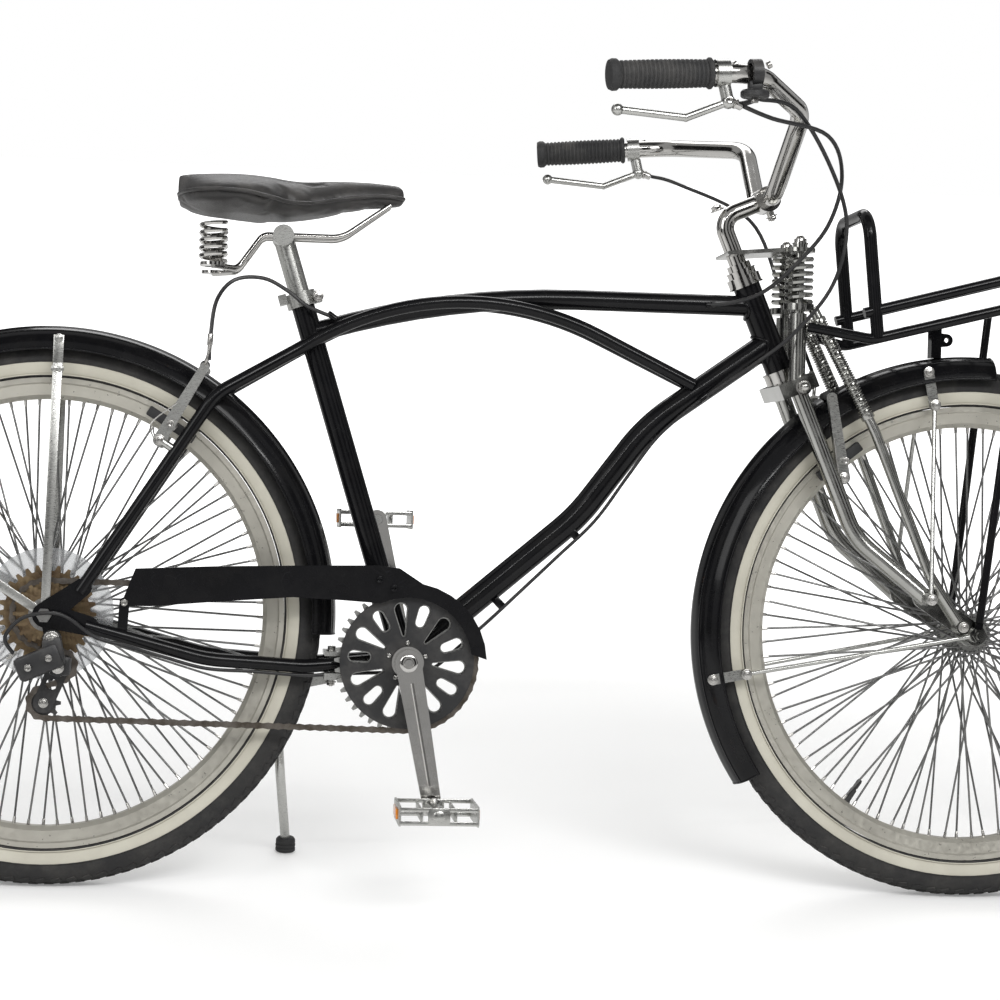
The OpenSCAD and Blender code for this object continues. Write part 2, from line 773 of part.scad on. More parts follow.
rim_half = rim_w / 2;
module rim() turn() polygon([[rim_r, rim_half], [rim_r - 6, rim_half], [rim_r - 8, rim_half - 2],
  [rim_in + 5, rim_half - 4], [rim_in, rim_half - 10], [rim_in, 10 - rim_half],
  [rim_in + 5, 4 - rim_half], [rim_r - 8, 2 - rim_half], [rim_r - 6, -rim_half],
  [rim_r, -rim_half]]);

// all the spokes of a wheel as six-sided bars, in one polyhedron; heads sit
// outside and inside each hub flange in turn, so crossing spokes pass by
module spoke_set(y_right, y_left, r_flange) {
  step = 360 / spokes;
  ends = [for (i = [0 : spokes - 1])
    let (a = i * step,
      y = i % 2 == 0 ? y_right : y_left,
      lead = floor(i / 2) % 2 == 0 ? 1 : -1,
      out = lead * (i % 2 == 0 ? -1 : 1) * (flange_half + spoke_r - 0.1))
    [polar([0, 0, 0], r_flange, a + 38 * lead, y + out),
      polar([0, 0, 0], rim_in + 0.3, a, y * 0.12)]];
  ring = [for (k = [0 : 5]) 60 * k];
  pts = [for (e = ends) let (u = unit(e[1] - e[0]), s = unit(cross(u, [0, 1, 0])),
      t = cross(u, s))
    for (p = e) for (k = ring) p + (s * cos(k) + t * sin(k)) * spoke_r];
  faces = [for (i = [0 : spokes - 1]) let (b = 12 * i)
    each concat([[for (k = [0 : 5]) b + k]], [[for (k = [5 : -1 : 0]) b + 6 + k]],
      [for (k = [0 : 5]) [b + (k + 1) % 6, b + k, b + 6 + k, b + 6 + (k + 1) % 6]])];
  polyhedron(points = pts, faces = faces);
}

// hub shell with its two spoke flanges, turning on the axle
module hub(y_right, y_left, r_flange, r_axle) difference() {
  union() {
    for (y = [y_right, y_left])
      cross_rod([0, 0, 0], y - flange_half, y + flange_half, r_flange + 3);
    cross_rod([0, 0, 0], y_right - 6, y_left + 6, 15);
  }
  cross_rod([0, 0, 0], -100, 100, r_axle);
}

flange_half = 1.6;
module front_tyre() at_front() tyre();
module front_rim() at_front() rim();
module front_spokes() at_front() spoke_set(-34, 34, 22);
module front_hub() at_front() hub(-34, 34, 22, axle_r);
module rear_tyre() tyre();
module rear_rim() rim();
module rear_spokes() spoke_set(-20, 34, 24);
module rear_hub() hub(-20, 34, 24, axle_r + run_fit);

// toothed sprocket outline: teeth narrow to flat tips
module sprocket2d(teeth, tip, root) polygon([for (i = [0 : teeth - 1])
  let (a = i * 360 / teeth, w = 360 / teeth)
    each [[root * cos(a - 0.32 * w), root * sin(a - 0.32 * w)],
      [tip * cos(a - 0.13 * w), tip * sin(a - 0.13 * w)],
      [tip * cos(a + 0.13 * w), tip * sin(a + 0.13 * w)],
      [root * cos(a + 0.32 * w), root * sin(a + 0.32 * w)]]]);

// seven cogs on one body, largest inboard; the fourth is on the chain line
module freewheel() difference() {
  union() {
    for (i = [0 : 6]) slab(-chain_y + cog_step * (3 - i) - 1, -chain_y + cog_step * (3 - i) + 1)
      sprocket2d(cog_teeth[i], pitch_radius(cog_teeth[i]) + 2.6, pitch_radius(cog_teeth[i]) - 4.6);
    cross_rod([0, 0, 0], -61, -26, 21);
  }
  cross_rod([0, 0, 0], -100, 100, axle_r + run_fit);
  cross_rod([0, 0, 0], -80, -56, 14);
}

module spoke_guard() difference() {
  cross_rod([0, 0, 0], -28.5, -27, 80);
  cross_rod([0, 0, 0], -100, 100, 21);
}

// Cranks and pedals

right_end = bb + crank_len * [sin(crank_turn), 0, -cos(crank_turn)];
left_end = bb - crank_len * [sin(crank_turn), 0, -cos(crank_turn)];

module arm2d(end) hull() {
  translate([bb[0], bb[2]]) circle(r = 16);
  translate([end[0], end[2]]) circle(r = 11.5);
}

crank_in = 72;
crank_out = 86;
module cranks() difference() {
  union() {
    cross_rod(bb, -crank_in - 4, crank_in + 4, spindle_r);
    slab(-crank_out, -crank_in) arm2d(right_end);
    slab(crank_in, crank_out) arm2d(left_end);
    cross_rod(bb, -crank_in - 1, -57.05, 19.5);
    cross_rod(bb, -58, -46, 15.95);
    cross_rod(bb, -54.45, -46, 19.95);
    cross_rod(bb, 40, crank_in + 1, 14);
    for (y = [-crank_out - 3, crank_out - 1]) cross_rod(bb, y, y + 4, 12);
  }
  cross_rod(right_end, -100, -60, pedal_pin + run_fit);
  cross_rod(left_end, 60, 100, pedal_pin + run_fit);
}

// slot outline with a round end of radius r0 at x0 and one of r1 at x1
function drop(x0, r0, x1, r1) = concat(
  [for (a = [90 : 30 : 270]) [x0 + r0 * cos(a), r0 * sin(a)]],
  [for (a = [-90 : 20 : 90]) [x1 + r1 * cos(a), r1 * sin(a)]]);

// seven long teardrops and seven short ovals, grown by g all round
module ring_slots(g) for (i = [0 : 13]) rotate(slot_turn + i * 360 / 14)
  polygon(i % 2 == 0 ? drop(33, 3 + g, 64, 9 + g) : drop(50, 7 + g, 65, 8 + g));

slot_turn = -5;

module on_crank(y0, y1) slab(y0, y1) translate([bb[0], bb[2]]) children();

module chainring() on_crank(-chain_y - 1, -chain_y + 1) difference() {
  sprocket2d(ring_teeth, ring_r + 3.4, ring_r - 4.2);
  circle(r = 20);
  ring_slots(-1.6);
}

module ring_guard() difference() {
  union() {
    on_crank(-57, -54.5) difference() {
      circle(r = guard_r);
      circle(r = 16);
      ring_slots(0);
    }
    on_crank(-54.5, -chain_y - 1) difference() {
      circle(r = 27);
      circle(r = 20);
    }
  }
}

guard_r = 82;

// platform pedal: cage plates fore and aft, tread bars and a barrel between
module pedal(p, s) {
  y0 = s > 0 ? pedal_in : -pedal_in - pedal_w;
  y1 = y0 + pedal_w;
  cross_rod(p, s > 0 ? crank_in + 0.5 : -pedal_in - 1, s > 0 ? pedal_in + 1 : -crank_in - 0.5, pedal_pin);
  difference() {
    translate([p[0] - 45, y0, p[2] - 13]) cube([90, pedal_w, 26]);
    for (x = [-39, 19]) translate([p[0] + x, y0 + 8, p[2] - 14]) cube([20, pedal_w - 16, 28]);
    for (x = [-50, 41]) translate([p[0] + x, y0 + 14, p[2] - 6]) cube([9, pedal_w - 28, 12]);
    for (z = [-14, 9]) translate([p[0] - 12, y0 + 8, p[2] + z]) cube([24, pedal_w - 16, 5]);
  }
}

pedal_in = 100;
pedal_w = 94;
pedal_pin = 6.55;

module pedal_right() pedal(right_end, -1);
module pedal_left() pedal(left_end, 1);

black = [0.04, 0.04, 0.045];
silver = [0.62, 0.62, 0.60];

color(black) parked() head_tube();
color(silver) parked() headset();
color(black) parked() top_tube();
color(black) parked() down_tube();
color(black) parked() seat_tube();
color(black) parked() bb_shell();
color(black) parked() twin_tubes();
color(black) parked() chain_stays();
color(black) parked() dropouts();
color(silver) parked() rear_axle();
color(silver) parked() seat_post();
color(black) parked() saddle();
color(silver) parked() saddle_springs();
color(black) parked() chain_guard();
color(black) parked() rear_fender();
color(silver) parked() rear_fender_stays();
color(silver) parked() rear_brake();
color(black) parked() derailleur();
color(black) parked() chain();
color(silver) parked() stand_bracket();
color(black) parked() rear_cables();
color(silver) parked() stem();
color(silver) parked() fork_blades();
color(silver) parked() fork_springs();
color(silver) parked() fork_legs();
color(silver) parked() fork_rockers();
color(silver) parked() handlebar();
color(black) parked() grips();
color(silver) parked() brake_levers();
color(silver) parked() front_brake();
color(black) parked() front_fender();
color(silver) parked() front_fender_stays();
color(black) parked() front_rack();
color(black) parked() front_cables();
color(black) parked() front_tyre();
color(silver) parked() front_rim();
color(silver) parked() front_spokes();
color(silver) parked() front_hub();
color(black) parked() rear_tyre();
color(silver) parked() rear_rim();
color(silver) parked() rear_spokes();
color(silver) parked() rear_hub();
color([0.5, 0.38, 0.2]) parked() freewheel();
color([0.75, 0.75, 0.75]) parked() spoke_guard();
color(silver) parked() cranks();
color(silver) parked() chainring();
color(black) parked() ring_guard();
color(black) parked() pedal_right();
color(black) parked() pedal_left();
color(silver) stand_leg();
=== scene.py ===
import json
import math
import random

import bmesh
import bpy
from mathutils import Matrix, Vector

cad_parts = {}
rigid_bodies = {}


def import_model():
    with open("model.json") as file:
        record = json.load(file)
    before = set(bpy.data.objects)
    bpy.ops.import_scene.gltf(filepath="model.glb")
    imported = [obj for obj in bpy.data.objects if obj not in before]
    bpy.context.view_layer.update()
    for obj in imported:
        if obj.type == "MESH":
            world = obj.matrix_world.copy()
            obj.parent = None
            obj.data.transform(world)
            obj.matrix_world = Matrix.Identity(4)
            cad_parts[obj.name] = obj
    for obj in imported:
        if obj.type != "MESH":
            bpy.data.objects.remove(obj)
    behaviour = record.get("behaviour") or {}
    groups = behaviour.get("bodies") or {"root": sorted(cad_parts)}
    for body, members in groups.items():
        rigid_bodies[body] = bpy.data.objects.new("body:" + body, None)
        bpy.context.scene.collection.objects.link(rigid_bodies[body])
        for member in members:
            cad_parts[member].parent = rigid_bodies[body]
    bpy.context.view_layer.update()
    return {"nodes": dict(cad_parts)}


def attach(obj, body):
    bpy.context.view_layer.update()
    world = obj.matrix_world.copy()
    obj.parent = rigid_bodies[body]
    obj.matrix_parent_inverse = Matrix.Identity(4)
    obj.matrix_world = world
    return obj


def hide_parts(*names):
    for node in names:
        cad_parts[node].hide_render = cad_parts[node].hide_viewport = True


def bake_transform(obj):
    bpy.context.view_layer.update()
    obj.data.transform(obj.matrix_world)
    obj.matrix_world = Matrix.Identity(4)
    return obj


print("loading the packed bicycle")
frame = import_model()
nodes = frame["nodes"]
random.seed(7)

# the bicycle is laid out upright, rear axle at the origin, then leaned and placed
bike = {
    "lean": math.radians(9),
    "midX": 0.565,
    "midY": 0.097,
    "wheelbase": 1.148,
    "tyreRadius": 0.333,
    "tyreSection": 0.027,
    "rimRadius": 0.287,
    "rimInner": 0.261,
    "barHalf": 0.335,
    "gripHeight": 0.640,
    "saddleHeight": 0.545,
    "crankLength": 0.175,
    "crankTurn": 11,
}
coreRadius = bike["tyreRadius"] - bike["tyreSection"]
axleHeight = coreRadius * math.cos(bike["lean"]) + bike["tyreSection"]
parked = (Matrix.Translation((-bike["midX"], -bike["midY"], axleHeight))
          @ Matrix.Rotation(-bike["lean"], 4, "X"))
frontAxle = Vector((bike["wheelbase"], 0, 0))
rearAxle = Vector((0, 0, 0))
bottomBracket = Vector((0.437, 0, -0.048))

for block in list(bpy.data.objects):
    if block.type in {"CAMERA", "LIGHT"}:
        bpy.data.objects.remove(block)
    elif block.type == "MESH" and block.name not in nodes:
        bpy.data.objects.remove(block)

# the camera stands where the photograph was taken from
cameraView = {
    "place": (0.223, -3.137, 0.151),
    "pitch": 0.03,
    "roll": -1.58,
    "yaw": -5.98,
    "lens": 91,
}


def placeCamera(view):
    bpy.ops.object.camera_add()
    camera = bpy.context.object
    camera.name = "photoCamera"
    camera.data.lens = view["lens"]
    camera.data.sensor_width = 36
    camera.data.clip_end = 40
    turn = (Matrix.Rotation(math.radians(view["yaw"]), 4, "Z")
            @ Matrix.Rotation(math.radians(view["pitch"]), 4, "X")
            @ Matrix.Rotation(math.radians(view["roll"]), 4, "Y")
            @ Matrix.Rotation(math.radians(90), 4, "X"))
    camera.matrix_world = parked @ Matrix.Translation(view["place"]) @ turn
    bpy.context.scene.camera = camera


placeCamera(cameraView)
bpy.context.scene.view_settings.view_transform = "Standard"
print("camera placed")


# small helpers that every piece uses

def mm(x, y, z):
    return Vector((x, y, z)) / 1000


def clearSelection():
    for obj in list(bpy.context.selected_objects):
        obj.select_set(False)


def makeActive(obj):
    clearSelection()
    obj.select_set(True)
    bpy.context.view_layer.objects.active = obj


def joinPieces(parts, name):
    clearSelection()
    for part in parts:
        part.select_set(True)
    bpy.context.view_layer.objects.active = parts[0]
    if len(parts) > 1:
        bpy.ops.object.join()
    joined = bpy.context.object
    joined.name = name
    return joined


def bakePlace(obj):
    makeActive(obj)
    bpy.ops.object.transform_apply(location=True, rotation=True, scale=True)


def finishPiece(obj, name, body, material=None, smooth=35):
    makeActive(obj)
    obj.name = name
    obj.data.name = name
    bpy.ops.object.transform_apply(location=True, rotation=True, scale=True)
    obj.data.transform(parked)
    obj.data.update()
    if smooth:
        bpy.ops.object.shade_smooth_by_angle(angle=math.radians(smooth))
    if material is not None:
        obj.data.materials.clear()
        obj.data.materials.append(material)
    if body is not None:
        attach(obj, body)
    return obj


def turnTo(direction):
    return Vector(direction).to_track_quat("Z", "Y").to_euler()


def roundBar(start, end, radius, sides=24, bevel=0.0):
    start, end = Vector(start), Vector(end)
    clearSelection()
    bpy.ops.mesh.primitive_cylinder_add(vertices=sides, radius=radius, depth=(end - start).length,
                                        location=(start + end) / 2, rotation=turnTo(end - start))
    bar = bpy.context.object
    if bevel:
        addBevel(bar, bevel, 2)
    bakePlace(bar)
    return bar


def addBevel(obj, width, segments, angle=30):
    makeActive(obj)
    bevel = obj.modifiers.new("edges", "BEVEL")
    bevel.width = width
    bevel.segments = segments
    bevel.limit_method = "ANGLE"
    bevel.angle_limit = math.radians(angle)
    bpy.ops.object.modifier_apply(modifier="edges")


def roundBox(centre, size, bevel, turn=(0, 0, 0)):
    clearSelection()
    bpy.ops.mesh.primitive_cube_add(size=1, location=centre, rotation=turn)
    box = bpy.context.object
    box.scale = size
    bakePlace(box)
    addBevel(box, bevel, 2)
    return box


def copyOf(template, matrix):
    fresh = template.copy()
    fresh.data = template.data.copy()
    fresh.data.transform(matrix)
    bpy.context.collection.objects.link(fresh)
    return fresh


def standAt(place, direction, turn=0.0):
    return (Matrix.Translation(place) @ Vector(direction).to_track_quat("Z", "Y").to_matrix().to_4x4()
            @ Matrix.Rotation(turn, 4, "Z"))


def smoothPath(points, steps=6):
    points = [Vector(p) for p in points]
    path = []
    for i in range(len(points) - 1):
        a, b = points[max(i - 1, 0)], points[i]
        c, d = points[i + 1], points[min(i + 2, len(points) - 1)]
        for k in range(steps):
            t = k / steps
            path.append(0.5 * (2 * b + (c - a) * t + (2 * a - 5 * b + 4 * c - d) * t * t
                               + (3 * b - a - 3 * c + d) * t ** 3))
    path.append(points[-1])
    return path


def tubeAlong(points, radius, sides=3, closed=False, name="tube"):
    curve = bpy.data.curves.new(name, "CURVE")
    curve.dimensions = "3D"
    curve.bevel_depth = radius
    curve.bevel_resolution = sides
    curve.use_fill_caps = not closed
    spline = curve.splines.new("POLY")
    spline.points.add(len(points) - 1)
    for slot, point in zip(spline.points, points):
        slot.co = (*point, 1)
    spline.use_cyclic_u = closed
    tube = bpy.data.objects.new(name, curve)
    bpy.context.collection.objects.link(tube)
    makeActive(tube)
    bpy.ops.object.convert(target="MESH")
    return bpy.context.object


def turnedShape(profile, start, direction, steps=32):
    # profile points are (radius, height); they are spun round the height axis
    mesh = bpy.data.meshes.new("turned")
    mesh.from_pydata([(r, 0, h) for r, h in profile], [(i, i + 1) for i in range(len(profile) - 1)], [])
    obj = bpy.data.objects.new("turned", mesh)
    bpy.context.collection.objects.link(obj)
    makeActive(obj)
    screw = obj.modifiers.new("spin", "SCREW")
    screw.steps = screw.render_steps = steps
    screw.use_merge_vertices = True
    screw.merge_threshold = 0.00001
    bpy.ops.object.modifier_apply(modifier="spin")
    bpy.ops.object.mode_set(mode="EDIT")
    bpy.ops.mesh.select_all(action="SELECT")
    bpy.ops.mesh.remove_doubles(threshold=0.00001)
    bpy.ops.mesh.normals_make_consistent(inside=False)
    bpy.ops.object.mode_set(mode="OBJECT")
    obj.data.transform(standAt(start, direction))
    return obj


def mirrored(obj):
    twin = copyOf(obj, Matrix.Scale(-1, 4, (0, 1, 0)))
    twin.data.flip_normals()
    return twin


def around(centre, radius, degrees, y=0.0):
    a = math.radians(degrees)
    return Vector((centre[0] + radius * math.cos(a), y, centre[2] + radius * math.sin(a)))


# shared surface effects, each a node group that gives masks and heights

def startGroup(name, inputs, outputs):
    group = bpy.data.node_groups.new(name, "ShaderNodeTree")
    for label, kind, value in inputs:
        socket = group.interface.new_socket(label, in_out="INPUT", socket_type=kind)
        if value is not None:
            socket.default_value = value
    for label, kind in outputs:
        group.interface.new_socket(label, in_out="OUTPUT", socket_type=kind)
    return group, group.nodes.new("NodeGroupInput"), group.nodes.new("NodeGroupOutput")


def makeGrainGroup():
    group, start, end = startGroup("fineGrain", [("Vector", "NodeSocketVector", None),
                                                 ("Scale", "NodeSocketFloat", 400.0),
                                                 ("Low", "NodeSocketFloat", 0.2),
                                                 ("High", "NodeSocketFloat", 0.4)],
                                   [("Height", "NodeSocketFloat"), ("Value", "NodeSocketFloat")])
    noise = group.nodes.new("ShaderNodeTexNoise")
    noise.inputs["Detail"].default_value = 4
    noise.inputs["Roughness"].default_value = 0.6
    ramp = group.nodes.new("ShaderNodeMapRange")
    ramp.inputs["From Min"].default_value = 0.3
    ramp.inputs["From Max"].default_value = 0.7
    group.links.new(start.outputs["Vector"], noise.inputs["Vector"])
    group.links.new(start.outputs["Scale"], noise.inputs["Scale"])
    group.links.new(noise.outputs["Fac"], ramp.inputs["Value"])
    group.links.new(start.outputs["Low"], ramp.inputs["To Min"])
    group.links.new(start.outputs["High"], ramp.inputs["To Max"])
    group.links.new(noise.outputs["Fac"], end.inputs["Height"])
    group.links.new(ramp.outputs["Result"], end.inputs["Value"])
    return group


def makeDustGroup():
    group, start, end = startGroup("settledDust", [("Vector", "NodeSocketVector", None),
                                                   ("Scale", "NodeSocketFloat", 30.0),
                                                   ("Amount", "NodeSocketFloat", 0.2)],
                                   [("Mask", "NodeSocketFloat")])
    noise = group.nodes.new("ShaderNodeTexNoise")
    noise.inputs["Detail"].default_value = 6
    noise.inputs["Roughness"].default_value = 0.7
    shape = group.nodes.new("ShaderNodeMapRange")
    shape.inputs["From Min"].default_value = 0.45
    shape.inputs["From Max"].default_value = 0.75
    facing = group.nodes.new("ShaderNodeNewGeometry")
    split = group.nodes.new("ShaderNodeSeparateXYZ")
    upward = group.nodes.new("ShaderNodeMapRange")
    upward.inputs["From Min"].default_value = -0.6
    upward.inputs["From Max"].default_value = 1.0
    upward.inputs["To Min"].default_value = 0.35
    both = group.nodes.new("ShaderNodeMath")
    both.operation = "MULTIPLY"
    strength = group.nodes.new("ShaderNodeMath")
    strength.operation = "MULTIPLY"
    group.links.new(start.outputs["Vector"], noise.inputs["Vector"])
    group.links.new(start.outputs["Scale"], noise.inputs["Scale"])
    group.links.new(noise.outputs["Fac"], shape.inputs["Value"])
    group.links.new(facing.outputs["Normal"], split.inputs["Vector"])
    group.links.new(split.outputs["Z"], upward.inputs["Value"])
    group.links.new(shape.outputs["Result"], both.inputs[0])
    group.links.new(upward.outputs["Result"], both.inputs[1])
    group.links.new(both.outputs["Value"], strength.inputs[0])
    group.links.new(start.outputs["Amount"], strength.inputs[1])
    group.links.new(strength.outputs["Value"], end.inputs["Mask"])
    return group


def makeScratchGroup():
    group, start, end = startGroup("hairScratches", [("Vector", "NodeSocketVector", None),
                                                     ("Scale", "NodeSocketFloat", 60.0),
                                                     ("Width", "NodeSocketFloat", 0.02)],
                                   [("Mask", "NodeSocketFloat")])
    bend = group.nodes.new("ShaderNodeTexNoise")
    bend.inputs["Scale"].default_value = 9
    mix = group.nodes.new("ShaderNodeMixRGB")
    mix.inputs["Fac"].default_value = 0.08
    cells = group.nodes.new("ShaderNodeTexVoronoi")
    cells.feature = "DISTANCE_TO_EDGE"
    thin = group.nodes.new("ShaderNodeMapRange")
    thin.inputs["To Min"].default_value = 1
    thin.inputs["To Max"].default_value = 0
    breaks = group.nodes.new("ShaderNodeTexNoise")
    breaks.inputs["Scale"].default_value = 45
    hold = group.nodes.new("ShaderNodeMapRange")
    hold.inputs["From Min"].default_value = 0.55
    hold.inputs["From Max"].default_value = 0.62
    both = group.nodes.new("ShaderNodeMath")
    both.operation = "MULTIPLY"
    group.links.new(start.outputs["Vector"], bend.inputs["Vector"])
    group.links.new(start.outputs["Vector"], mix.inputs["Color1"])
    group.links.new(bend.outputs["Color"], mix.inputs["Color2"])
    group.links.new(mix.outputs["Color"], cells.inputs["Vector"])
    group.links.new(start.outputs["Scale"], cells.inputs["Scale"])
    group.links.new(cells.outputs["Distance"], thin.inputs["Value"])
    group.links.new(start.outputs["Width"], thin.inputs["From Max"])
    group.links.new(start.outputs["Vector"], breaks.inputs["Vector"])
    group.links.new(breaks.outputs["Fac"], hold.inputs["Value"])
    group.links.new(thin.outputs["Result"], both.inputs[0])
    group.links.new(hold.outputs["Result"], both.inputs[1])
    group.links.new(both.outputs["Value"], end.inputs["Mask"])
    return group


grainGroup = makeGrainGroup()
dustGroup = makeDustGroup()
scratchGroup = makeScratchGroup()


# finishes, each with its own values

def makeFinish(name, look):
    material = bpy.data.materials.new(name)
    material.use_nodes = True
    tree = material.node_tree
    links = tree.links
    shader = tree.nodes["Principled BSDF"]
    place = tree.nodes.new("ShaderNodeTexCoord")
    stretch = tree.nodes.new("ShaderNodeMapping")
    stretch.inputs["Scale"].default_value = look.get("stretch", (1, 1, 1))
    links.new(place.outputs["Object"], stretch.inputs["Vector"])

    tone = tree.nodes.new("ShaderNodeGroup")
    tone.node_tree = grainGroup
    tone.inputs["Scale"].default_value = look.get("toneScale", 14)
    tone.inputs["Low"].default_value = 0
    tone.inputs["High"].default_value = 1
    links.new(place.outputs["Object"], tone.inputs["Vector"])
    blend = tree.nodes.new("ShaderNodeMixRGB")
    blend.inputs["Color1"].default_value = (*look["color"], 1)
    blend.inputs["Color2"].default_value = (*look.get("colorB", look["color"]), 1)
    links.new(tone.outputs["Value"], blend.inputs["Fac"])
    colour = blend.outputs["Color"]

    grain = tree.nodes.new("ShaderNodeGroup")
    grain.node_tree = grainGroup
    grain.inputs["Scale"].default_value = look.get("grainScale", 300)
    grain.inputs["Low"].default_value = look["rough"][0]
    grain.inputs["High"].default_value = look["rough"][1]
    links.new(stretch.outputs["Vector"], grain.inputs["Vector"])
    rough = grain.outputs["Value"]

    if look.get("dust"):
        dust = tree.nodes.new("ShaderNodeGroup")
        dust.node_tree = dustGroup
        dust.inputs["Scale"].default_value = look.get("dustScale", 26)
        dust.inputs["Amount"].default_value = look["dust"]
        links.new(place.outputs["Object"], dust.inputs["Vector"])
        powder = tree.nodes.new("ShaderNodeMixRGB")
        powder.inputs["Color2"].default_value = (*look.get("dustColor", (0.42, 0.39, 0.35)), 1)
        links.new(dust.outputs["Mask"], powder.inputs["Fac"])
        links.new(colour, powder.inputs["Color1"])
        colour = powder.outputs["Color"]
        dull = tree.nodes.new("ShaderNodeMixRGB")
        dull.inputs["Color2"].default_value = (0.8, 0.8, 0.8, 1)
        links.new(dust.outputs["Mask"], dull.inputs["Fac"])
        links.new(rough, dull.inputs["Color1"])
        rough = dull.outputs["Color"]

    if look.get("scratch"):
        lines = tree.nodes.new("ShaderNodeGroup")
        lines.node_tree = scratchGroup
        lines.inputs["Scale"].default_value = look.get("scratchScale", 70)
        lines.inputs["Width"].default_value = 0.02
        links.new(place.outputs["Object"], lines.inputs["Vector"])
        faint = tree.nodes.new("ShaderNodeMath")
        faint.operation = "MULTIPLY"
        faint.inputs[1].default_value = look["scratch"]
        links.new(lines.outputs["Mask"], faint.inputs[0])
        worn = tree.nodes.new("ShaderNodeMixRGB")
        worn.inputs["Color2"].default_value = (*look.get("scratchColor", (0.3, 0.3, 0.3)), 1)
        links.new(faint.outputs["Value"], worn.inputs["Fac"])
        links.new(colour, worn.inputs["Color1"])
        colour = worn.outputs["Color"]

    links.new(colour, shader.inputs["Base Color"])
    links.new(rough, shader.inputs["Roughness"])
    shader.inputs["Metallic"].default_value = look.get("metal", 0)
    shader.inputs["Specular IOR Level"].default_value = look.get("specular", 0.5)
    shader.inputs["Coat Weight"].default_value = look.get("coat", 0)
    shader.inputs["Coat Roughness"].default_value = look.get("coatRough", 0.05)
    shader.inputs["Sheen Weight"].default_value = look.get("sheen", 0)
    shader.inputs["Transmission Weight"].default_value = look.get("clear", 0)
    shader.inputs["Alpha"].default_value = look.get("alpha", 1)
    bump = tree.nodes.new("ShaderNodeBump")
    bump.inputs["Strength"].default_value = look.get("bump", 0.05)
    bump.inputs["Distance"].default_value = look.get("bumpDepth", 0.0004)
    links.new(grain.outputs["Height"], bump.inputs["Height"])
    links.new(bump.outputs["Normal"], shader.inputs["Normal"])
    return material


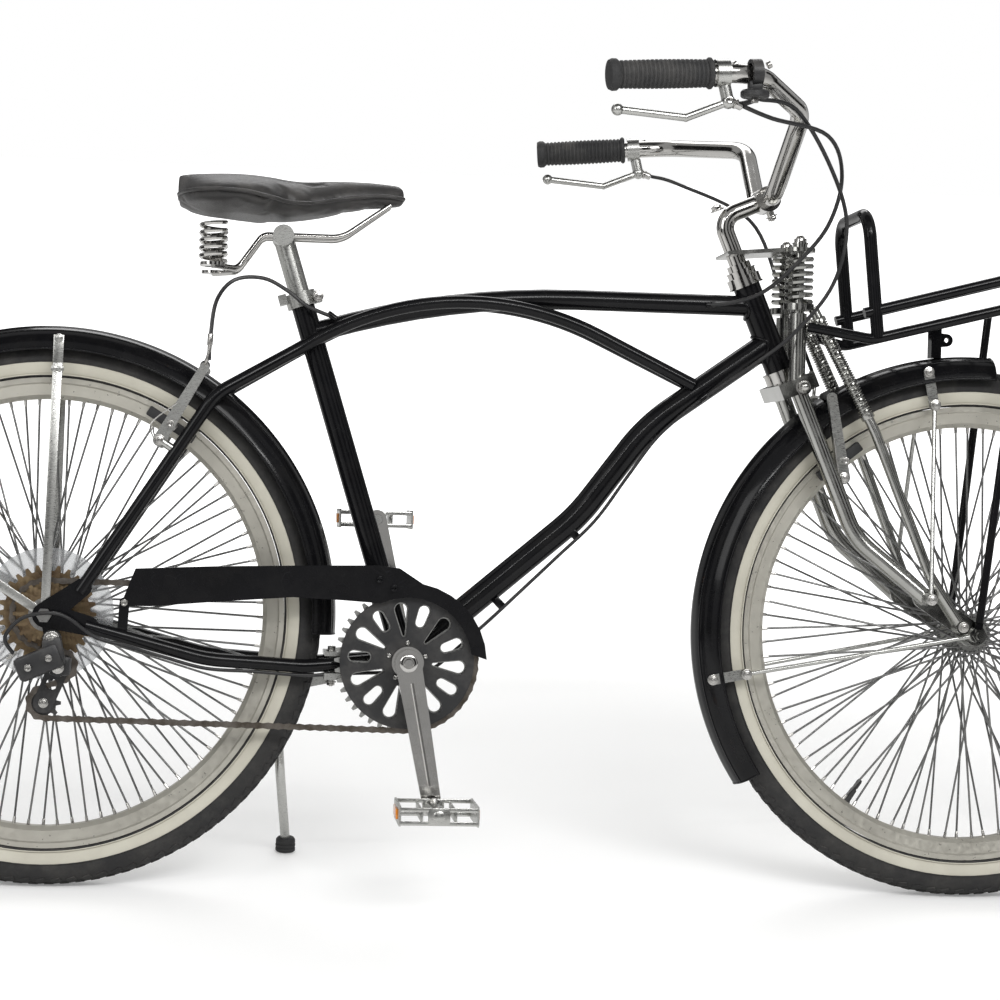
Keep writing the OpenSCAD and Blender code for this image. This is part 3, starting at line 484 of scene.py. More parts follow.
finishes = {
    "glossBlack": {"color": (0.0035, 0.0035, 0.004), "colorB": (0.006, 0.006, 0.007),
                   "rough": (0.13, 0.19), "coat": 0.10, "coatRough": 0.04, "specular": 0.16, "dust": 0.015,
                   "bump": 0.02, "grainScale": 220, "scratch": 0.15, "scratchColor": (0.04, 0.04, 0.042)},
    "chrome": {"color": (0.60, 0.59, 0.57), "colorB": (0.50, 0.49, 0.47), "metal": 1,
               "rough": (0.06, 0.17), "grainScale": 38, "bump": 0.02, "dust": 0.05, "scratch": 0.3},
    "wornChrome": {"color": (0.46, 0.46, 0.44), "colorB": (0.34, 0.34, 0.32), "metal": 1,
                   "rough": (0.10, 0.28), "grainScale": 30, "bump": 0.03, "dust": 0.06, "scratch": 0.4},
    "satinAlloy": {"color": (0.56, 0.56, 0.54), "colorB": (0.46, 0.46, 0.44), "metal": 1,
                   "rough": (0.22, 0.36), "grainScale": 190, "stretch": (1, 1, 7), "bump": 0.04,
                   "dust": 0.04, "scratch": 0.08},
    "rimAlloy": {"color": (0.62, 0.60, 0.53), "colorB": (0.52, 0.50, 0.44), "metal": 0.7,
                 "rough": (0.26, 0.42), "grainScale": 160, "bump": 0.04, "dust": 0.08, "scratch": 0.2},
    "spokeSteel": {"color": (0.24, 0.24, 0.235), "colorB": (0.16, 0.16, 0.16), "metal": 1,
                   "rough": (0.24, 0.4), "grainScale": 240, "bump": 0.03, "dust": 0.05},
    "steel": {"color": (0.46, 0.46, 0.45), "colorB": (0.34, 0.33, 0.32), "metal": 1,
              "rough": (0.24, 0.42), "grainScale": 210, "bump": 0.06, "dust": 0.16, "scratch": 0.4},
    "chainSteel": {"color": (0.22, 0.20, 0.18), "colorB": (0.09, 0.075, 0.06), "metal": 1,
                   "rough": (0.3, 0.55), "grainScale": 150, "toneScale": 60, "bump": 0.1, "dust": 0.1},
    "brownSteel": {"color": (0.36, 0.27, 0.16), "colorB": (0.16, 0.11, 0.07), "metal": 1,
                   "rough": (0.3, 0.5), "grainScale": 160, "toneScale": 45, "bump": 0.1},
    "tyreBlack": {"color": (0.022, 0.022, 0.023), "colorB": (0.034, 0.033, 0.032),
                  "rough": (0.7, 0.9), "grainScale": 900, "bump": 0.35, "specular": 0.3, "dust": 0.35,
                  "dustColor": (0.16, 0.15, 0.135)},
    "whiteWall": {"color": (0.54, 0.52, 0.44), "colorB": (0.45, 0.43, 0.36), "rough": (0.55, 0.75),
                  "grainScale": 500, "bump": 0.15, "dust": 0.3, "dustColor": (0.36, 0.33, 0.28)},
    "blackPlastic": {"color": (0.018, 0.018, 0.019), "colorB": (0.026, 0.026, 0.027),
                     "rough": (0.34, 0.5), "grainScale": 1100, "bump": 0.2, "specular": 0.4, "dust": 0.15},
    "cableJacket": {"color": (0.012, 0.012, 0.013), "rough": (0.3, 0.42), "grainScale": 600,
                    "bump": 0.06, "specular": 0.45, "dust": 0.08},
    "clearPlastic": {"color": (0.86, 0.87, 0.88), "rough": (0.12, 0.24), "grainScale": 160,
                     "clear": 0.9, "bump": 0.03},
    "padLeather": {"color": (0.018, 0.017, 0.017), "colorB": (0.030, 0.028, 0.027),
                   "rough": (0.36, 0.54), "grainScale": 520, "bump": 0.45, "bumpDepth": 0.0006,
                   "dust": 0.12, "sheen": 0.05},
    "gripRubber": {"color": (0.020, 0.020, 0.021), "colorB": (0.030, 0.030, 0.030),
                   "rough": (0.6, 0.8), "grainScale": 1000, "bump": 0.3, "dust": 0.15},
    "brakeRubber": {"color": (0.015, 0.015, 0.016), "colorB": (0.03, 0.03, 0.03),
                    "rough": (0.6, 0.75), "grainScale": 800, "bump": 0.2},
    "amberLens": {"color": (0.85, 0.30, 0.02), "colorB": (0.75, 0.22, 0.01), "rough": (0.08, 0.16),
                  "grainScale": 200, "coat": 0.5, "bump": 0.05},
    "threadSteel": {"color": (0.55, 0.54, 0.52), "colorB": (0.42, 0.41, 0.39), "metal": 1,
                    "rough": (0.2, 0.34), "grainScale": 260, "bump": 0.08, "dust": 0.1},
    "whiteThread": {"color": (0.55, 0.54, 0.50), "rough": (0.6, 0.8), "grainScale": 900, "bump": 0.2},
}
paint = {name: makeFinish(name, look) for name, look in finishes.items()}
print("finishes made")

nodeFinish = {
    "headset": "chrome", "seat_post": "satinAlloy", "rear_fender_stays": "chrome",
    "front_fender_stays": "satinAlloy", "fork_blades": "wornChrome", "fork_springs": "wornChrome",
    "fork_legs": "wornChrome", "fork_rockers": "wornChrome", "stem": "chrome", "handlebar": "chrome",
    "front_rim": "rimAlloy", "rear_rim": "rimAlloy", "cranks": "chrome", "rear_brake": "satinAlloy",
    "front_brake": "satinAlloy", "brake_levers": "satinAlloy", "front_hub": "satinAlloy",
    "rear_hub": "satinAlloy", "stand_bracket": "satinAlloy", "stand_leg": "satinAlloy",
    "rear_axle": "steel", "front_spokes": "spokeSteel", "rear_spokes": "spokeSteel",
    "saddle_springs": "chrome", "chainring": "satinAlloy", "chain": "chainSteel",
    "freewheel": "brownSteel", "spoke_guard": "clearPlastic", "saddle": "padLeather",
    "grips": "gripRubber", "rear_tyre": "tyreBlack", "front_tyre": "tyreBlack",
    "rear_cables": "cableJacket", "front_cables": "cableJacket", "ring_guard": "blackPlastic",
    "pedal_right": "blackPlastic", "pedal_left": "blackPlastic", "derailleur": "blackPlastic",
}
for name, obj in nodes.items():
    finish = paint[nodeFinish.get(name, "glossBlack")]
    if obj.material_slots:
        for slot in obj.material_slots:
            slot.link = "OBJECT"
            slot.material = finish
    else:
        obj.data.materials.append(finish)
print("frame painted")

# floor, backdrop and soft lamps
studio = {
    "floorColor": (0.84, 0.84, 0.835),
    "floorGlow": 0.18,
    "paperNear": 0.9,
    "paperFar": 2.6,
    "worldLight": 0.62,
    "mirrorLight": 0.4,
    "lamps": [
        ("keyLamp", (1.2, -3.2, 3.4), (2.2, 1.6), 62),
        ("fillLamp", (-2.6, -2.2, 2.2), (1.6, 1.8), 26),
        ("backLamp", (0.2, 2.8, 3.0), (2.6, 1.2), 34),
        ("stripLamp", (0.3, -2.6, 2.6), (3.6, 0.10), 24),
    ],
}


def makeFloor():
    clearSelection()
    bpy.ops.mesh.primitive_plane_add(size=60, location=(0, 0, -0.0005))
    floor = bpy.context.object
    floor.name = "studioFloor"
    material = bpy.data.materials.new("floorPaper")
    material.use_nodes = True
    tree = material.node_tree
    shader = tree.nodes["Principled BSDF"]
    shader.inputs["Base Color"].default_value = (*studio["floorColor"], 1)
    shader.inputs["Roughness"].default_value = 0.9
    shader.inputs["Specular IOR Level"].default_value = 0.1
    path = tree.nodes.new("ShaderNodeLightPath")
    place = tree.nodes.new("ShaderNodeTexCoord")
    far = tree.nodes.new("ShaderNodeVectorMath")
    far.operation = "LENGTH"
    fade = tree.nodes.new("ShaderNodeMapRange")
    fade.interpolation_type = "SMOOTHSTEP"
    fade.inputs["From Min"].default_value = studio["paperNear"]
    fade.inputs["From Max"].default_value = studio["paperFar"]
    fade.inputs["To Min"].default_value = studio["floorGlow"]
    glow = tree.nodes.new("ShaderNodeMath")
    glow.operation = "MULTIPLY"
    shader.inputs["Emission Color"].default_value = (1, 1, 1, 1)
    tree.links.new(place.outputs["Object"], far.inputs[0])
    tree.links.new(far.outputs["Value"], fade.inputs["Value"])
    tree.links.new(fade.outputs["Result"], glow.inputs[1])
    tree.links.new(path.outputs["Is Camera Ray"], glow.inputs[0])
    tree.links.new(glow.outputs["Value"], shader.inputs["Emission Strength"])
    floor.data.materials.append(material)


def makeWorld():
    world = bpy.context.scene.world or bpy.data.worlds.new("studioWorld")
    bpy.context.scene.world = world
    world.use_nodes = True
    tree = world.node_tree
    tree.nodes.clear()
    out = tree.nodes.new("ShaderNodeOutputWorld")
    sky = tree.nodes.new("ShaderNodeBackground")
    sky.inputs["Color"].default_value = (1, 1, 1, 1)
    path = tree.nodes.new("ShaderNodeLightPath")
    seen = tree.nodes.new("ShaderNodeMath")
    seen.operation = "MAXIMUM"
    clear = tree.nodes.new("ShaderNodeMath")
    clear.operation = "MAXIMUM"
    level = tree.nodes.new("ShaderNodeMapRange")
    level.inputs["To Min"].default_value = studio["worldLight"]
    level.inputs["To Max"].default_value = studio["mirrorLight"]
    tree.links.new(path.outputs["Is Camera Ray"], seen.inputs[0])
    tree.links.new(path.outputs["Is Transmission Ray"], seen.inputs[1])
    tree.links.new(path.outputs["Is Glossy Ray"], level.inputs["Value"])
    tree.links.new(seen.outputs["Value"], clear.inputs[0])
    tree.links.new(level.outputs["Result"], clear.inputs[1])
    tree.links.new(clear.outputs["Value"], sky.inputs["Strength"])
    tree.links.new(sky.outputs["Background"], out.inputs["Surface"])


def makeLamps():
    for name, place, size, power in studio["lamps"]:
        bpy.ops.object.light_add(type="AREA", location=place)
        lamp = bpy.context.object
        lamp.name = name
        lamp.data.shape = "RECTANGLE"
        lamp.data.size, lamp.data.size_y = size
        lamp.data.energy = power
        lamp.rotation_euler = (Vector((0, 0, 0.45)) - Vector(place)).to_track_quat("-Z", "Y").to_euler()


makeFloor()
makeWorld()
makeLamps()
# dark cards out of sight give the chrome and the paint something to mirror
darkCards = {
    "distance": 5.2,
    "width": 1.9,
    "height": 3.6,
    "angles": (28, 68, 112, 152, 208, 248, 292, 332),
    "ceiling": (4.6, 2.2, 4.3),
    "tone": 0.02,
}


def makeCards():
    material = bpy.data.materials.new("cardFelt")
    material.use_nodes = True
    shader = material.node_tree.nodes["Principled BSDF"]
    shader.inputs["Base Color"].default_value = (darkCards["tone"],) * 3 + (1,)
    shader.inputs["Roughness"].default_value = 1
    shader.inputs["Specular IOR Level"].default_value = 0
    spots = [((darkCards["distance"] * math.cos(math.radians(a)), darkCards["distance"]
               * math.sin(math.radians(a)), 2.0), (darkCards["width"], darkCards["height"]))
             for a in darkCards["angles"]]
    spots.append(((0, 0, darkCards["ceiling"][2]), darkCards["ceiling"][:2]))
    for number, (place, size) in enumerate(spots):
        clearSelection()
        bpy.ops.mesh.primitive_plane_add(size=1, location=place)
        card = bpy.context.object
        card.name = "darkCard%d" % number
        card.scale = (size[0], size[1], 1)
        aim = Vector((0, 0, place[2])) - Vector(place)
        card.rotation_euler = (aim.to_track_quat("Z", "Y") if aim.length > 0.01
                               else Vector((0, 0, -1)).to_track_quat("Z", "Y")).to_euler()
        card.data.materials.append(material)
        card.visible_camera = False
        card.visible_diffuse = False
        card.visible_shadow = False
        card.visible_transmission = False


makeCards()
print("studio set up")

# tyres: a rubber ring with a pale side band, and blocks round the tread
tyre = {
    "bandInner": 0.2815,
    "bandOuter": 0.3050,
    "treadLift": 0.0012,
    "blocksRound": 110,
    "rowAngles": (-38, -13, 13, 38),
    "blockSize": (0.0112, 0.0078, 0.0022),
}


def makeTyre(name, centre, body, node):
    clearSelection()
    bpy.ops.mesh.primitive_torus_add(location=(0, 0, 0), rotation=(math.radians(90), 0, 0),
                                     major_segments=176, minor_segments=48, major_radius=coreRadius,
                                     minor_radius=bike["tyreSection"] - tyre["treadLift"])
    ring = bpy.context.object
    bakePlace(ring)
    mesh = ring.data
    gone = [v.index for v in mesh.vertices if math.hypot(v.co.x, v.co.z) < bike["rimRadius"] - 0.001]
    shape = bmesh.new()
    shape.from_mesh(mesh)
    shape.verts.ensure_lookup_table()
    bmesh.ops.delete(shape, geom=[shape.verts[i] for i in gone], context="VERTS")
    shape.to_mesh(mesh)
    shape.free()
    makeActive(ring)
    wall = ring.modifiers.new("wall", "SOLIDIFY")
    wall.thickness = 0.003
    wall.offset = -1
    bpy.ops.object.modifier_apply(modifier="wall")
    mesh = ring.data
    mesh.materials.append(paint["tyreBlack"])
    mesh.materials.append(paint["whiteWall"])
    for face in mesh.polygons:
        radius = math.hypot(face.center.x, face.center.z)
        outside = abs(face.center.y) > 0.0205
        if outside and tyre["bandInner"] < radius < tyre["bandOuter"]:
            face.material_index = 1
    ribs = []
    for side in (-1, 1):
        for radius, lift, tone in ((0.2905, 0.0226, "whiteWall"), (0.3062, 0.0260, "tyreBlack")):
            loop = [around((0, 0, 0), radius, 360 * k / 120, side * lift) for k in range(120)]
            rib = tubeAlong(loop, 0.0008, 1, closed=True)
            rib.data.materials.append(paint[tone])
            ribs.append(rib)
    block = roundBox((0, 0, 0), tyre["blockSize"], 0.0006)
    block.data.materials.append(paint["tyreBlack"])
    blocks = []
    count = tyre["blocksRound"]
    section = bike["tyreSection"] - tyre["treadLift"]
    for row, tilt in enumerate(tyre["rowAngles"]):
        for k in range(count):
            turn = 2 * math.pi * (k + 0.5 * (row % 2)) / count
            skew = 0.35 if row in (0, 3) else -0.2
            spot = (Matrix.Rotation(turn, 4, "Y") @ Matrix.Translation((0, 0, coreRadius))
                    @ Matrix.Rotation(math.radians(-tilt), 4, "X") @ Matrix.Translation((0, 0, section))
                    @ Matrix.Rotation(skew, 4, "Z"))
            blocks.append(copyOf(block, spot))
    bpy.data.objects.remove(block)
    whole = joinPieces([ring] + ribs + blocks, name)
    whole.data.transform(Matrix.Translation(centre))
    finishPiece(whole, name, body, None, 30)
    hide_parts(node)


makeTyre("frontTyre", frontAxle, "front_wheel", "front_tyre")
makeTyre("rearTyre", rearAxle, "rear_wheel", "rear_tyre")
print("tyres made")

# small fasteners, each modelled once
fastener = {
    "hexFlat": 0.0050,
    "hexHeight": 0.0042,
    "capRadius": 0.0042,
    "capHeight": 0.0046,
    "domeRadius": 0.0042,
}


def makeHexBolt():
    clearSelection()
    bpy.ops.mesh.primitive_cylinder_add(vertices=6, radius=fastener["hexFlat"] / math.cos(math.pi / 6),
                                        depth=fastener["hexHeight"],
                                        location=(0, 0, fastener["hexHeight"] / 2 + 0.001))
    head = bpy.context.object
    addBevel(head, 0.0007, 2)
    bakePlace(head)
    washer = roundBar((0, 0, -0.0004), (0, 0, 0.0011), fastener["hexFlat"] * 1.5, 20, 0.0003)
    tip = roundBar((0, 0, 0.004), (0, 0, 0.0064), 0.0026, 12, 0.0004)
    return joinPieces([head, washer, tip], "hexBolt")


def makeCapScrew():
    clearSelection()
    bpy.ops.mesh.primitive_cylinder_add(vertices=24, radius=fastener["capRadius"],
                                        depth=fastener["capHeight"],
                                        location=(0, 0, fastener["capHeight"] / 2))
    head = bpy.context.object
    bpy.ops.object.mode_set(mode="EDIT")
    bpy.ops.mesh.select_all(action="DESELECT")
    bpy.ops.object.mode_set(mode="OBJECT")
    for face in head.data.polygons:
        face.select = face.normal.z > 0.9
    bpy.ops.object.mode_set(mode="EDIT")
    bpy.ops.mesh.inset(thickness=fastener["capRadius"] * 0.42)
    bpy.ops.mesh.extrude_region_move(TRANSFORM_OT_translate={"value": (0, 0, -0.0028)})
    bpy.ops.object.mode_set(mode="OBJECT")
    addBevel(head, 0.0003, 2)
    bakePlace(head)
    return head


def makeDomeNut():
    profile = [(0.0, 0.0082), (0.0022, 0.0078), (0.0038, 0.0064), (0.0044, 0.0048), (0.0058, 0.0046),
               (0.0060, 0.0042), (0.0060, 0.0008), (0.0078, 0.0007), (0.0078, -0.0006), (0.0, -0.0006)]
    return turnedShape(profile, (0, 0, 0), (0, 0, 1), 18)


def makeRivet():
    profile = [(0.0, 0.0018), (0.0014, 0.0016), (0.0026, 0.0009), (0.0030, 0.0), (0.0, -0.0004)]
    return turnedShape(profile, (0, 0, 0), (0, 0, 1), 14)


hexBoltShape = makeHexBolt()
capScrewShape = makeCapScrew()
domeNutShape = makeDomeNut()
rivetShape = makeRivet()


def fasten(name, body, template, places, scale=1.0, finish="threadSteel"):
    copies = []
    for number, (place, direction) in enumerate(places):
        matrix = standAt(Vector(place), direction, 0.4 * number) @ Matrix.Scale(scale, 4)
        copies.append(copyOf(template, matrix))
    finishPiece(joinPieces(copies, name), name, body, paint[finish], 40)


# points of the frame that the fasteners and cables use, in millimetres
seatTop = mm(296, 0, 405)
seatDir = (seatTop - bottomBracket).normalized()
steerUp = Vector((-math.cos(math.radians(67)), 0, math.sin(math.radians(67))))
steerFront = Vector((math.sin(math.radians(67)), 0, math.cos(math.radians(67))))
headMiddle = mm(879, 0, 377)
barClamp = headMiddle + steerUp * 0.150 + steerFront * 0.062


def onSteer(t, out=0.0, y=0.0):
    return headMiddle + steerUp * t / 1000 + steerFront * out / 1000 + Vector((0, y / 1000, 0))


def bothSides(places):
    return places + [(Vector((p[0], -p[1], p[2])), (d[0], -d[1], d[2])) for p, d in places]


rightSide = (0, -1, 0)
fenderRadius = 0.350
fasten("frameBolts", "frame", hexBoltShape, [
    (mm(347, 0, -39.4), (0, 0, 1)), (mm(347, 0, -78), (0, 0, -1)),
    (mm(318, -14, 398), rightSide), (mm(318, 14, 398), (0, 1, 0))], 0.9)
fasten("guardBolt", "frame", capScrewShape, [(mm(94, -68.5, 17), rightSide)])
fasten("guardScrews", "frame", capScrewShape, [(mm(400, -66, 52), rightSide), (mm(418, -66, 42), rightSide)],
       1.0, "glossBlack")
fasten("forkBolts", "fork", hexBoltShape, bothSides([
    (around(frontAxle, fenderRadius - 0.016, 191, -0.0386), rightSide),
    (around(frontAxle, fenderRadius - 0.016, 101, -0.0386), rightSide),
    (around(frontAxle, fenderRadius - 0.058, 191, -0.0444), rightSide),
    (around(frontAxle, fenderRadius - 0.058, 101, -0.0444), rightSide),
    (mm(1128, -71, 10), rightSide), (mm(1080, -96, 44), rightSide)]), 0.9)
fasten("forkDomeNuts", "fork", domeNutShape, bothSides([
    (mm(915, -40, 482.5), (0, 0, 1)), (mm(920, -60, 303), rightSide)]), 1.3, "chrome")
print("fasteners placed")


# weld beads where the tubes meet, traced on the tube that is met
welds = {
    "radius": 0.0021,
    "steps": 48,
}


def weldBead(start, direction, radius, lineStart, lineEnd, lineRadius):
    axis = Vector(direction).normalized()
    side = axis.orthogonal().normalized()
    other = axis.cross(side)
    line = (lineEnd - lineStart).normalized()
    ring = []
    for k in range(welds["steps"]):
        a = 2 * math.pi * k / welds["steps"]
        point = start + (side * math.cos(a) + other * math.sin(a)) * (radius + welds["radius"] * 0.4)
        across = point - lineStart
        across -= line * across.dot(line)
        step = axis - line * axis.dot(line)
        aa, bb, cc = step.dot(step), 2 * across.dot(step), across.dot(across) - lineRadius ** 2
        root = bb * bb - 4 * aa * cc
        travel = (-bb - math.sqrt(root)) / (2 * aa) if root > 0 else -bb / (2 * aa)
        ring.append(point + axis * travel)
    return tubeAlong(ring, welds["radius"], 2, closed=True)


headLow, headHigh = onSteer(-58), onSteer(58)
seatLow, seatHigh = bottomBracket, mm(296, 0, 398)
beads = [
    weldBead(mm(820, 0, 402), mm(862, 0, 404) - mm(780, 0, 404.5), 0.0127, headLow, headHigh, 0.017),
    weldBead(mm(830, 0, 322), mm(866, 0, 347) - mm(798, 0, 300), 0.0159, headLow, headHigh, 0.017),
    weldBead(mm(470, 0, -16), bottomBracket - mm(555, 0, 46), 0.0159,
             mm(437, -36, -48), mm(437, 36, -48), 0.020),
    weldBead(mm(420, 0, -5), bottomBracket - seatHigh, 0.0143, mm(437, -36, -48), mm(437, 36, -48), 0.020),
]
finishPiece(joinPieces(beads, "weldBeads"), "weldBeads", "frame", paint["glossBlack"], 60)
print("welds laid")

# fenders drawn over the plain ones: a deeper skirt, a rolled edge and a raised line along each side
fender = {
    "radius": 0.350,
    "section": 0.041,
    "edge": 0.0125,
    "skin": 0.0012,
    "bead": 0.0017,
    "line": 8,
    "rear": (-3, 198),
    "front": (86, 214),
    "stepDegrees": 1.5,
}


def fenderProfile():
    # half angles from the crown line down to the edge
    last = math.degrees(math.acos(fender["edge"] / fender["section"]))
    half = []
    for k in range(15):
        a = math.radians(last * k / 14)
        lift = 0.0008 if k < 2 else 0.0
        half.append((fender["radius"] - fender["section"] + (fender["section"] + lift) * math.cos(a),
                     fender["section"] * math.sin(a)))
    return [(r, -y) for r, y in reversed(half)] + half[1:]


def makeFender(name, centre, arc, body, node):
    profile = fenderProfile()
    start = math.radians(arc[0])
    mesh = bpy.data.meshes.new(name)
    mesh.from_pydata([(r * math.cos(start), y, r * math.sin(start)) for r, y in profile],
                     [(k, k + 1) for k in range(len(profile) - 1)], [])
    shell = bpy.data.objects.new(name, mesh)
    bpy.context.collection.objects.link(shell)
    makeActive(shell)
    bpy.ops.object.mode_set(mode="EDIT")
    bpy.ops.mesh.select_all(action="SELECT")
    bpy.ops.mesh.spin(steps=int((arc[1] - arc[0]) / fender["stepDegrees"]), angle=math.radians(arc[1] - arc[0]),
                      center=(0, 0, 0), axis=(0, 1, 0))
    bpy.ops.mesh.select_all(action="SELECT")
    bpy.ops.mesh.remove_doubles(threshold=0.00001)
    bpy.ops.mesh.normals_make_consistent(inside=False)
    bpy.ops.object.mode_set(mode="OBJECT")
    middle = math.radians((arc[0] + arc[1]) / 2)
    outward = Vector((math.cos(middle), 0, math.sin(middle)))
    best = max(shell.data.polygons, key=lambda f: f.center.dot(outward))
    if best.normal.dot(outward) < 0:
        shell.data.flip_normals()
    wall = shell.modifiers.new("wall", "SOLIDIFY")
    wall.thickness = fender["skin"]
    wall.offset = -1
    bpy.ops.object.modifier_apply(modifier="wall")
    parts = [shell]
    edgeRadius, edgeHalf = profile[-1]
    count = int((arc[1] - arc[0]) / 2)
    for side in (-1, 1):
        path = [around((0, 0, 0), edgeRadius, arc[0] + (arc[1] - arc[0]) * k / count, side * edgeHalf)
                for k in range(count + 1)]
        parts.append(tubeAlong(path, fender["bead"], 2))
        lineRadius, lineHalf = profile[-1 - fender["line"]]
        path = [around((0, 0, 0), lineRadius, arc[0] + (arc[1] - arc[0]) * k / count, side * lineHalf)
                for k in range(count + 1)]
        parts.append(tubeAlong(path, 0.0011, 2))
    for end in arc:
        parts.append(tubeAlong([around((0, 0, 0), r - 0.0006, end, y) for r, y in profile], 0.0014, 2))
    whole = joinPieces(parts, name)
    whole.data.transform(Matrix.Translation(centre))
    finishPiece(whole, name, body, paint["glossBlack"], 50)
    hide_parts(node)


makeFender("rearFender", rearAxle, fender["rear"], "frame", "rear_fender")
makeFender("frontFender", frontAxle, fender["front"], "fork", "front_fender")
print("fenders rolled")

# spokes, spoke nipples and valves
wheelTrim = {
    "lead": 38,
    "flangeHalf": 0.0026,
    "spokes": 92,
    "wire": 0.00135,
    "valveAngle": 236,
}


def makeWheelTrim(name, centre, body, node, right, left, flange):
    nipple = turnedShape([(0.0, 0.010), (0.0015, 0.0098), (0.0019, 0.0088), (0.0022, 0.0004), (0.0, 0.0)],
                         (0, 0, 0), (0, 0, 1), 8)
    parts, wires = [], []
    for k in range(wheelTrim["spokes"]):
        turn = 360 * k / wheelTrim["spokes"]
        lead = 1 if k // 2 % 2 == 0 else -1
        flangeY = right if k % 2 == 0 else left
        out = lead * (-1 if k % 2 == 0 else 1) * wheelTrim["flangeHalf"]
        spot = around(centre, bike["rimInner"] + 0.0003, turn, flangeY * 0.12)
        head = around(centre, flange, turn + wheelTrim["lead"] * lead, flangeY + out)
        parts.append(copyOf(nipple, standAt(spot + (spot - head).normalized() * 0.002, head - spot)))
        wires.append(roundBar(head, spot, wheelTrim["wire"], 8))
        wires.append(roundBar(head, Vector((head.x, flangeY - math.copysign(0.0028, out), head.z)),
                              wheelTrim["wire"], 8))
    bpy.data.objects.remove(nipple)
    finishPiece(joinPieces(parts, name + "Nipples"), name + "Nipples", body, paint["threadSteel"], 40)
    finishPiece(joinPieces(wires, name + "Spokes"), name + "Spokes", body, paint["spokeSteel"], 60)
    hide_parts(node)
    base = around(centre, bike["rimInner"] + 0.001, wheelTrim["valveAngle"])
    inward = (centre - base).normalized()
    stem = turnedShape([(0.0, 0.034), (0.0026, 0.0338), (0.0034, 0.031), (0.0034, 0.022), (0.0028, 0.0215),
                        (0.0028, 0.020), (0.0042, 0.019), (0.0046, 0.004), (0.0060, 0.0012), (0.0060, 0.0)],
                       base, inward, 18)
    finishPiece(stem, name + "Valve", body, paint["brakeRubber"], 40)


makeWheelTrim("frontWheel", frontAxle, "front_wheel", "front_spokes", -0.034, 0.034, 0.022)
makeWheelTrim("rearWheel", rearAxle, "rear_wheel", "rear_spokes", -0.020, 0.034, 0.024)
print("wheels trimmed")

# chain of separate links, on the same way round the wheels as the solid's band
drive = {
    "pitch": 0.0127,
    "side": -0.047,
    "wheels": [((0.437, -0.048), 0.08497, 1), ((0.0, 0.0), 0.0406, 1),
               ((0.018, -0.062), 0.01857, -1), ((0.0, -0.107), 0.01857, 1)],
    "plateHalf": 0.0040,
    "plateThick": 0.0010,
}


def chainHeading(i):
    (ax, az), ar, asense = drive["wheels"][i]
    (bx, bz), br, bsense = drive["wheels"][(i + 1) % 4]
    reach = math.hypot(bx - ax, bz - az)
    return math.atan2(bz - az, bx - ax) - math.asin((bsense * br - asense * ar) / reach)


def chainRoute():
    route = []
    for i, ((cx, cz), radius, sense) in enumerate(drive["wheels"]):
        arrive, leave = chainHeading((i + 3) % 4), chainHeading(i)
        sweep = (leave - arrive) % (2 * math.pi) if sense > 0 else -((arrive - leave) % (2 * math.pi))
        steps = max(4, int(abs(sweep) * radius / 0.001))
        for k in range(steps + 1):
            a = arrive + sweep * k / steps - sense * math.pi / 2
            route.append(Vector((cx + radius * math.cos(a), 0, cz + radius * math.sin(a))))
    route.append(route[0])
    return route


def walkRoute(route, count):
    lengths = [(b - a).length for a, b in zip(route, route[1:])]
    total = sum(lengths)
    spots, travelled, i = [], 0.0, 0
    for k in range(count):
        want = total * k / count
        while travelled + lengths[i] < want:
            travelled += lengths[i]
            i += 1
        spots.append(route[i].lerp(route[i + 1], (want - travelled) / lengths[i]))
    return spots, total


def makeChain():
    route = chainRoute()
    count = round(walkRoute(route, 2)[1] / drive["pitch"] / 2) * 2
    spots = walkRoute(route, count)[0]
    half, thick = drive["plateHalf"], drive["plateThick"]
    outline = []
    for k in range(7):
        a = math.radians(-90 + 30 * k)
        outline.append((0.00635 + half * math.cos(a), half * math.sin(a)))
    outline.append((0.0, half * 0.72))
    for k in range(7):
        a = math.radians(90 + 30 * k)
        outline.append((-0.00635 + half * math.cos(a), half * math.sin(a)))
    outline.append((0.0, -half * 0.72))
    mesh = bpy.data.meshes.new("linkPlate")
    n = len(outline)
    mesh.from_pydata([(x, y, z) for y in (0, thick) for x, z in outline], [],
                     [list(range(n)), list(range(2 * n - 1, n - 1, -1))]
                     + [(k, k + n, (k + 1) % n + n, (k + 1) % n) for k in range(n)])
    plate = bpy.data.objects.new("linkPlate", mesh)
    bpy.context.collection.objects.link(plate)
    roller = roundBar((0, -0.0022, 0), (0, 0.0022, 0), 0.0038, 12)
    pin = roundBar((0, -0.0036, 0), (0, 0.0036, 0), 0.0018, 8)
    parts = []
    for k, spot in enumerate(spots):
        ahead = spots[(k + 1) % count]
        turn = math.atan2(ahead.z - spot.z, ahead.x - spot.x)
        middle = (spot + ahead) / 2
        inner = k % 2 == 0
        for y in ((-0.0031, 0.0021) if not inner else (-0.0020, 0.0010)):
            parts.append(copyOf(plate, Matrix.Translation((middle.x, drive["side"] + y, middle.z))
                                @ Matrix.Rotation(-turn, 4, "Y")))
        for template in (roller, pin):
            parts.append(copyOf(template, Matrix.Translation((spot.x, drive["side"], spot.z))))
    for template in (plate, roller, pin):
        bpy.data.objects.remove(template)
    chain = joinPieces(parts, "rollerChain")
    makeActive(chain)
    bpy.ops.object.mode_set(mode="EDIT")
    bpy.ops.mesh.select_all(action="SELECT")
    bpy.ops.mesh.normals_make_consistent(inside=False)
    bpy.ops.object.mode_set(mode="OBJECT")
    finishPiece(chain, "rollerChain", "frame", paint["chainSteel"], 40)
    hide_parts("chain")


makeChain()
print("chain threaded")

